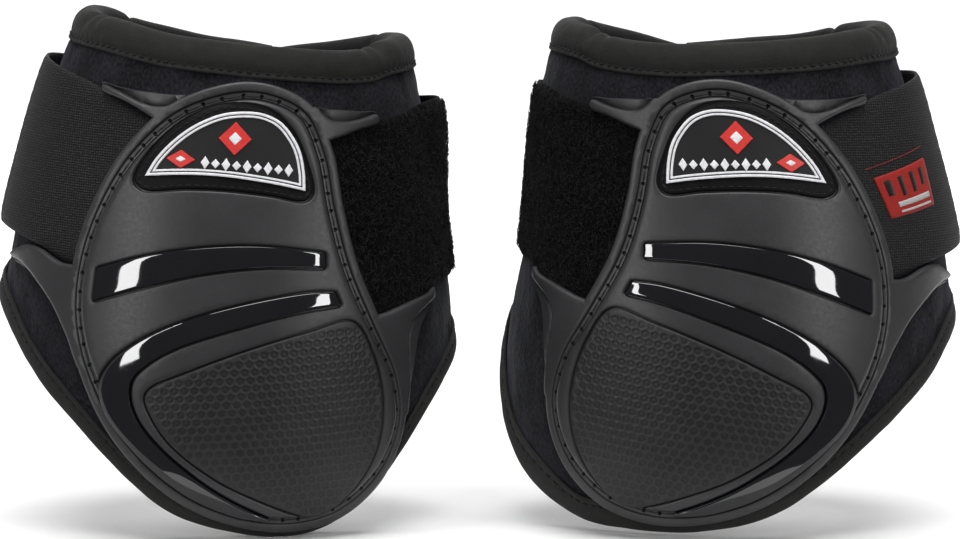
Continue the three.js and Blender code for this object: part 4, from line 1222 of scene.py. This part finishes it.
class HexPattern:
    """The honeycomb panel's flat pattern, which both boots share."""

    def __init__(self):
        self.edge_loop = outline(HEX_OUTLINE, 0.7)
        self.half = HEX["pitch"] / 2
        corner = np.arange(6) * math.pi / 3 + math.pi / 6 + HEX["turn"]
        self.corners = np.stack([np.cos(corner), np.sin(corner)], -1)
        self.normals = np.stack([np.cos(corner + math.pi / 6), np.sin(corner + math.pi / 6)], -1)
        self.centres = self.cells()
        self.flat = relief(self.rings(), self.spots(), 1.2, self.region, 0.45)
        self.heights()

    def region(self, points):
        """How far points are from the panel, negative inside."""
        return signed_distance(points, self.edge_loop)

    def cells(self):
        """The middles of the cells that fit on the panel."""
        i, j = np.meshgrid(*[np.arange(-HEX["reach"], HEX["reach"])] * 2)
        pitch, turn = HEX["pitch"], HEX["turn"]
        grid = np.stack([(i + 0.5 * (j % 2)).ravel() * pitch, j.ravel() * pitch * math.sqrt(0.75)], -1)
        spin = np.array([[math.cos(turn), math.sin(turn)], [-math.sin(turn), math.cos(turn)]])
        centres = grid @ spin + flatten([HEX["middle"]])
        return centres[self.region(centres) < -1.0]

    def rings(self):
        """The panel's edge, and the foot of the wall round each cell."""
        foot = self.corners * (self.half - HEX["ridge"]) / math.cos(math.pi / 6)
        return [inwards(self.edge_loop, d) for d in HEX_EDGE] + [c + foot for c in self.centres]

    def spots(self):
        """Points on the walls' crests, and on two rings inside each cell."""
        centres = self.centres[:, None]
        walls = (centres + self.corners * self.half / math.cos(math.pi / 6)).reshape(-1, 2)
        middles = (centres + self.normals * self.half).reshape(-1, 2)
        crest = np.unique(np.round(np.concatenate([walls, middles]), 3), axis=0)
        ring = np.concatenate([self.corners / math.cos(math.pi / 6), self.normals])
        discs = [(centres + ring * r).reshape(-1, 2) for r in (HEX["ring"], HEX["dome"])]
        return np.concatenate([crest, *discs, self.centres])

    def heights(self):
        """Each point's height, and its edge value: ridges are lighter, and each cell has a round groove with
        painted shade in it.
        """
        points = self.flat[0]
        away = points[:, None] - self.centres
        own = (away**2).sum(-1).argmin(1)
        reach = (away[np.arange(len(points)), own] @ self.normals.T).max(1)
        wall = self.half - reach
        ridge = 0.3 * (1 - np.clip(wall / HEX["ridge"], 0, 1)) * (wall > -0.3)
        dome = np.interp(reach, [0, HEX["dome"], HEX["ring"], HEX["ring"] + 0.2], [0.03, 0.01, -0.07, 0])
        inside = self.region(points)
        fade = smooth(0.4, 1.6, -inside)
        self.top = HEX["top"] + fade * (ridge + dome) - np.interp(-inside, HEX_EDGE, [0.6, 0.2, 0])
        # Ridges are lighter, and the round groove in each cell is darkened as painted shade.
        self.edge = fade * (0.65 * (ridge > 0.12) - 0.3 * np.exp(-((reach - HEX["ring"]) / 0.14) ** 2))


def hex_panel(boot, pattern):
    """The honeycomb panel, set into the shell."""
    obj = relief_piece(boot, "honeycomb", pattern.flat, pattern.top, PANEL_UNDER, "hex",
                       values=pattern.edge)
    rides(stands_for(obj, boot, "hex_panel"), boot, "boot")


# ---- Badge ---------------------------------------------------------------------------------------
BADGE_TOP = [(-21.6, 110.0), (-19.2, 115.4), (-14.9, 121.2), (-9.7, 125.8), (-2.9, 129.3), (4, 130.4),
             (9, 129.9), (13.4, 127.7), (16.6, 123.7), (18.6, 119.2), (19.5, 113.5), (19.6, 108)]
BADGE_FOOT = [(-21.6, 110.0), (-13.7, 110.9), (-7.3, 111.3), (0.2, 111.1), (6.6, 110.4), (13.0, 109.4),
              (19.6, 108)]
BORDERS = [(0, 0.75), (1.1, 0.6)]      # inset and width of the two white lines
BORDER_TOP = 5.95                      # heights over the wrap, as on the shell
PATCH_TOP = 5.35
PATCH_UNDER = 4.6
FIELD_TOP = 5.5
LINE_UNDER = 5.3
MOTIF_UNDER = 5.4
# The end of each lozenge's name, its middle, half its width and half its height.
LOZENGES = [("", (1.2, 122.4), 4.3, 4.9), ("_left", (-12.6, 115.6), 3.9, 2.7)]
HEARTS = [("", (1.2, 122.4), 1.7, 1.9), ("_left", (-12.6, 115.6), 1.4, 0.9)]
BADGE_STITCH = {"inset": 1.0, "pitch": 2.3, "radius": 0.16}


def badge_loop(inset, count=90):
    """The badge's pointed outline moved inwards, with its corners kept sharp."""
    rows = []
    for points, way in ((BADGE_TOP, -1), (BADGE_FOOT, 1)):
        row = even(flatten(spline(points, False)), 0.3, False)
        tail = 8 * (row[0] - row[2]) / np.linalg.norm(row[0] - row[2])
        lead = 8 * (row[-1] - row[-3]) / np.linalg.norm(row[-1] - row[-3])
        row = np.concatenate([row[:1] + tail, row, row[-1:] + lead])
        along = np.gradient(row, axis=0)
        along /= np.linalg.norm(along, axis=1, keepdims=True)
        rows.append(row + way * inset * np.stack([-along[:, 1], along[:, 0]], -1))
    crossings = meetings(*rows)
    loop = []
    for k, row in enumerate(rows):
        first, last = crossings[0][k], crossings[-1][k]
        at = np.linspace(first, last, count)
        part = np.stack([np.interp(at, np.arange(len(row)), row[:, i]) for i in (0, 1)], -1)
        loop.append(part[:-1] if k == 0 else part[::-1][:-1])
    return np.concatenate(loop)


def meetings(first, second):
    """Where two lines cross, as the index along each."""
    found = []
    for i in range(len(first) - 1):
        p, r = first[i], first[i + 1] - first[i]
        q, s = second[:-1], np.diff(second, axis=0)
        cross = r[0] * s[:, 1] - r[1] * s[:, 0]
        cross = np.where(cross == 0, 1e-12, cross)
        t = ((q - p)[:, 0] * s[:, 1] - (q - p)[:, 1] * s[:, 0]) / cross
        w = ((q - p)[:, 0] * r[1] - (q - p)[:, 1] * r[0]) / cross
        for j in np.nonzero((t >= 0) & (t < 1) & (w >= 0) & (w < 1))[0]:
            found.append((i + t[j], j + w[j]))
    return found


def badge_line(boot, name, outer, inner):
    """A raised white line between two loops, with a softly rounded top."""
    low, high = BORDER_TOP - 0.12, BORDER_TOP
    section = [(0, LINE_UNDER), (0, low), (0.2, high), (0.8, high), (1, low), (1, LINE_UNDER)]
    flats = [outer + (inner - outer) * share for share, _ in section]
    rows = [place(boot, *unflatten(flat), height) for flat, (_, height) in zip(flats, section)]
    count, size = len(outer), len(section)
    faces = []
    for i in range(count):
        here, there = i * size, (i + 1) % count * size
        faces += [[here + j, here + (j + 1) % size, there + (j + 1) % size, there + j] for j in range(size)]
    return piece(boot, name, np.stack(rows, 1).reshape(-1, 3), faces, np.stack(flats, 1).reshape(-1, 2),
                 "white", sharp=40)


def motif_shape(boot, name, shapes, under, top, material):
    """Thin raised shapes with straight sides, all in one piece."""
    loops = [even(np.asarray(shape, float), 0.45, True) for shape in shapes]
    rings = loops + [inwards(loop, 0.12) for loop in loops]
    flat = relief(rings, [], 1.0, lambda points: nearest(points, loops), 0.25)
    inside = -nearest(flat[0], loops)
    high = top - np.interp(inside, [0, 0.12], [0.12, 0])
    return relief_piece(boot, name, flat, high, under, material, sharp=40)


class BadgePattern:
    """The badge patch's flat pattern: a stitched margin round a raised field."""

    def __init__(self):
        self.edge_loop = inwards(outline(WINDOW, 0.6), 0.15)
        self.field = badge_loop(0)
        rings = [inwards(self.edge_loop, d) for d in (0, 0.2, 0.5)]
        rings += [self.field, inwards(self.field, -0.2)]
        self.flat = relief(rings, [], 1.3, lambda p: signed_distance(p, self.edge_loop), 0.4)
        points, triangles, _ = self.flat
        inside = -signed_distance(points, self.edge_loop)
        field = signed_distance(points, self.field)
        self.top = PATCH_TOP - np.interp(inside, [0, 0.2, 0.5], [0.4, 0.1, 0])
        self.top = np.where(field < 0.01, FIELD_TOP, self.top)
        # Lighter along the margin's rounded rim, and darkened round the foot of the raised field as painted
        # shade.
        self.edge = 0.25 * np.exp(-((inside - 0.4) / 0.3) ** 2) - 0.6 * np.exp(-((field - 0.2) / 0.25) ** 2)
        self.material_of = (signed_distance(points[triangles].mean(1), self.field) < 0).astype(int)
        self.stitches = stitch_places(self.edge_loop, BADGE_STITCH["inset"], BADGE_STITCH["pitch"])


def badge(boot, pattern):
    """The badge's patch, its two white lines, its stitches and its motif."""
    patch = relief_piece(boot, "badge_patch_moulding", pattern.flat, pattern.top, PATCH_UNDER,
                         ["badge", "field"], values=pattern.edge, sharp=45,
                         material_of=pattern.material_of)
    rides(stands_for(patch, boot, "badge_patch"), boot, "boot")
    for k, (inset, width) in enumerate(BORDERS):
        ring = badge_line(boot, f"badge_line_{k + 1}", badge_loop(inset), badge_loop(inset + width))
        rides(stands_for(ring, boot, "badge_border") if k == 0 else ring, boot, "boot")
    thread_ring(boot, "badge_stitches", pattern.stitches, np.array([0.15, 0.25, 0.5, 0.7, 0.8]),
                [5.3, 5.45, 5.5, 5.45, 5.3], BADGE_STITCH["radius"])
    badge_motif(boot)


def lozenge(centre, half_width, half_height):
    """A lozenge's corners on the flat pattern."""
    x, y = flatten([centre])[0]
    return [(x + half_width, y), (x, y + half_height), (x - half_width, y), (x, y - half_height)]


def badge_motif(boot):
    """A plain motif: two red lozenges with white middles, and a row of white lozenges."""
    for k, (end, centre, *size) in enumerate(LOZENGES):
        shape = motif_shape(boot, f"motif_lozenge{end}", [lozenge(centre, *size)], MOTIF_UNDER, 5.9, "red")
        rides(stands_for(shape, boot, "badge_emblem") if k == 0 else shape, boot, "boot")
    for end, centre, *size in HEARTS:
        shape = motif_shape(boot, f"motif_heart{end}", [lozenge(centre, *size)], 5.7, 6.05, "white")
        rides(shape, boot, "boot")
    loops = [lozenge((-6.2 + 21.5 * t, 115.0 - 1.2 * t), 1.15, 1.9 - 0.5 * (k % 2))
             for k, t in enumerate(np.linspace(0, 1, 9))]
    rides(motif_shape(boot, "motif_row", loops, MOTIF_UNDER, BORDER_TOP, "white"), boot, "boot")


# ---- Impact pad -----------------------------------------------------------------------------------
PAD = {"inset": 22, "spacing": 2.5, "top": 1.75, "under": 0.9}


def impact_pad(boot):
    """Foam between the shell and the wrap, in the shell's shape but smaller."""
    loop = even(inwards(outline(SHELL_OUTLINE, PAD["spacing"]), PAD["inset"]), PAD["spacing"], True)
    flat = relief([loop, inwards(loop, 0.8)], [], 4, lambda p: signed_distance(p, loop), 1.2)
    inside = -signed_distance(flat[0], loop)
    top = PAD["top"] - np.interp(inside, [0, 0.8], [0.4, 0])
    pad = relief_piece(boot, "impact_foam", flat, top, PAD["under"], "foam")
    rides(stands_for(pad, boot, "impact_pad"), boot, "boot")


# ---- The boots ------------------------------------------------------------------------------------
def build_boots():
    """Both boots, piece by piece."""
    shell, panel, patch = ShellPattern(), HexPattern(), BadgePattern()
    for boot in BOOTS:
        for half in HALVES:
            liner_half(boot, half)
            lining_half(boot, half)
            for kind, edge in ((COLLAR, RIM), (HEM, FOOT[boot["side"]])):
                edge_roll(boot, half, kind, edge)
                edge_stitches(boot, half, kind, edge)
        for span in STRAP_LENGTHS:
            strap_length(boot, span)
        pull_tab(boot)
        hook_pad(boot)
        loop_panel(boot)
        loop_fibres(boot)
        shell_piece(boot, shell)
        ribs(boot)
        hex_panel(boot, panel)
        badge(boot, patch)
        impact_pad(boot)
        if boot["side"] == "right":
            strap_label(boot)


# ---- Floor, lights and camera ------------------------------------------------------------------------
def look_at(obj, target):
    """Turns a camera or a light towards a place."""
    obj.rotation_mode = "QUATERNION"
    obj.rotation_quaternion = (Vector(target) - obj.location).to_track_quat("-Z", "Y")


def area_light(name, location, width, height, power, target=(PAIR_SPACING / 2000, 0, 0)):
    """A rectangular light that faces the pair."""
    data = bpy.data.lights.new(name, "AREA")
    data.shape, data.size, data.size_y, data.energy = "RECTANGLE", width, height, power
    obj = bpy.data.objects.new(name, data)
    obj.location = location
    bpy.context.scene.collection.objects.link(obj)
    look_at(obj, target)
    return obj


def broad_light(name, kind):
    """A sun so wide that it lights like a soft sky."""
    data = bpy.data.lights.new(name, "SUN")
    data.energy, data.angle = kind["strength"], kind["spread"]
    obj = bpy.data.objects.new(name, data)
    obj.rotation_euler = (kind["tilt"], 0, 0)
    bpy.context.scene.collection.objects.link(obj)
    return obj


def lights():
    """A tall strip to each side for the ribs' highlights, one light behind, and two broad ones."""
    middle = PAIR_SPACING / 2000
    for side in (-1, 1):
        x = middle + side * STRIP["distance"] * math.sin(STRIP["angle"])
        y = -STRIP["distance"] * math.cos(STRIP["angle"])
        z = (STRIP["low"] + STRIP["high"]) / 2
        strip = area_light(f"strip_{side}", (x, y, z), STRIP["width"], STRIP["high"] - STRIP["low"],
                           STRIP["power"], (middle, 0, z))
        strip.rotation_quaternion @= Quaternion((0, 0, 1), -side * STRIP["lean"])
        strip.visible_diffuse = False
    behind = (middle, BACK_LIGHT["distance"], BACK_LIGHT["height"])
    area_light("back", behind, BACK_LIGHT["size"], BACK_LIGHT["size"], BACK_LIGHT["power"])
    broad_light("sky", SKY)
    broad_light("fill", FILL).visible_glossy = False


def world():
    """Seen by the camera the surroundings are white; what they give off is dimmer."""
    made = bpy.data.worlds.new("studio")
    bpy.context.scene.world = made
    made.use_nodes = True
    nodes, links = made.node_tree.nodes, made.node_tree.links
    back = nodes["Background"]
    back.inputs[0].default_value = (1, 1, 1, 1)
    path = nodes.new("ShaderNodeLightPath")
    level = nodes.new("ShaderNodeMapRange")
    level.inputs[3].default_value = WORLD_LIGHT
    level.inputs[4].default_value = WORLD_SEEN
    links.new(path.outputs["Is Camera Ray"], level.inputs[0])
    links.new(level.outputs[0], back.inputs[1])


def floor():
    """A pale floor under the boots, which ends just in front of them."""
    low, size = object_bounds()[0].z, FLOOR_SIZE
    mesh = bpy.data.meshes.new("floor")
    corners = [(-size, FLOOR_FRONT), (size, FLOOR_FRONT), (size, size), (-size, size)]
    mesh.from_pydata([(x, y, low) for x, y in corners], [], [(0, 1, 2, 3)])
    obj = bpy.data.objects.new("floor", mesh)
    bpy.context.scene.collection.objects.link(obj)
    material = bpy.data.materials.new("floor_white")
    material.use_nodes = True
    surface = material.node_tree.nodes["Principled BSDF"]
    surface.inputs["Base Color"].default_value = (0.9, 0.9, 0.9, 1)
    surface.inputs["Roughness"].default_value = 0.9
    surface.inputs["Specular IOR Level"].default_value = 0.0
    mesh.materials.append(material)
    obj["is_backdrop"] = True


def camera():
    """The camera, at the photograph's viewing angle."""
    data = bpy.data.cameras.new("camera")
    data.lens = CAMERA_LENS
    data.clip_start, data.clip_end = 0.05, 50
    obj = bpy.data.objects.new("camera", data)
    back = Vector((0, -math.cos(CAMERA_ELEVATION), math.sin(CAMERA_ELEVATION)))
    obj.location = Vector(CAMERA_TARGET) + back * CAMERA_DISTANCE
    bpy.context.scene.collection.objects.link(obj)
    look_at(obj, CAMERA_TARGET)
    bpy.context.scene.camera = obj


build_boots()
floor()
lights()
world()
camera()
bpy.context.scene.view_settings.view_transform = "Standard"
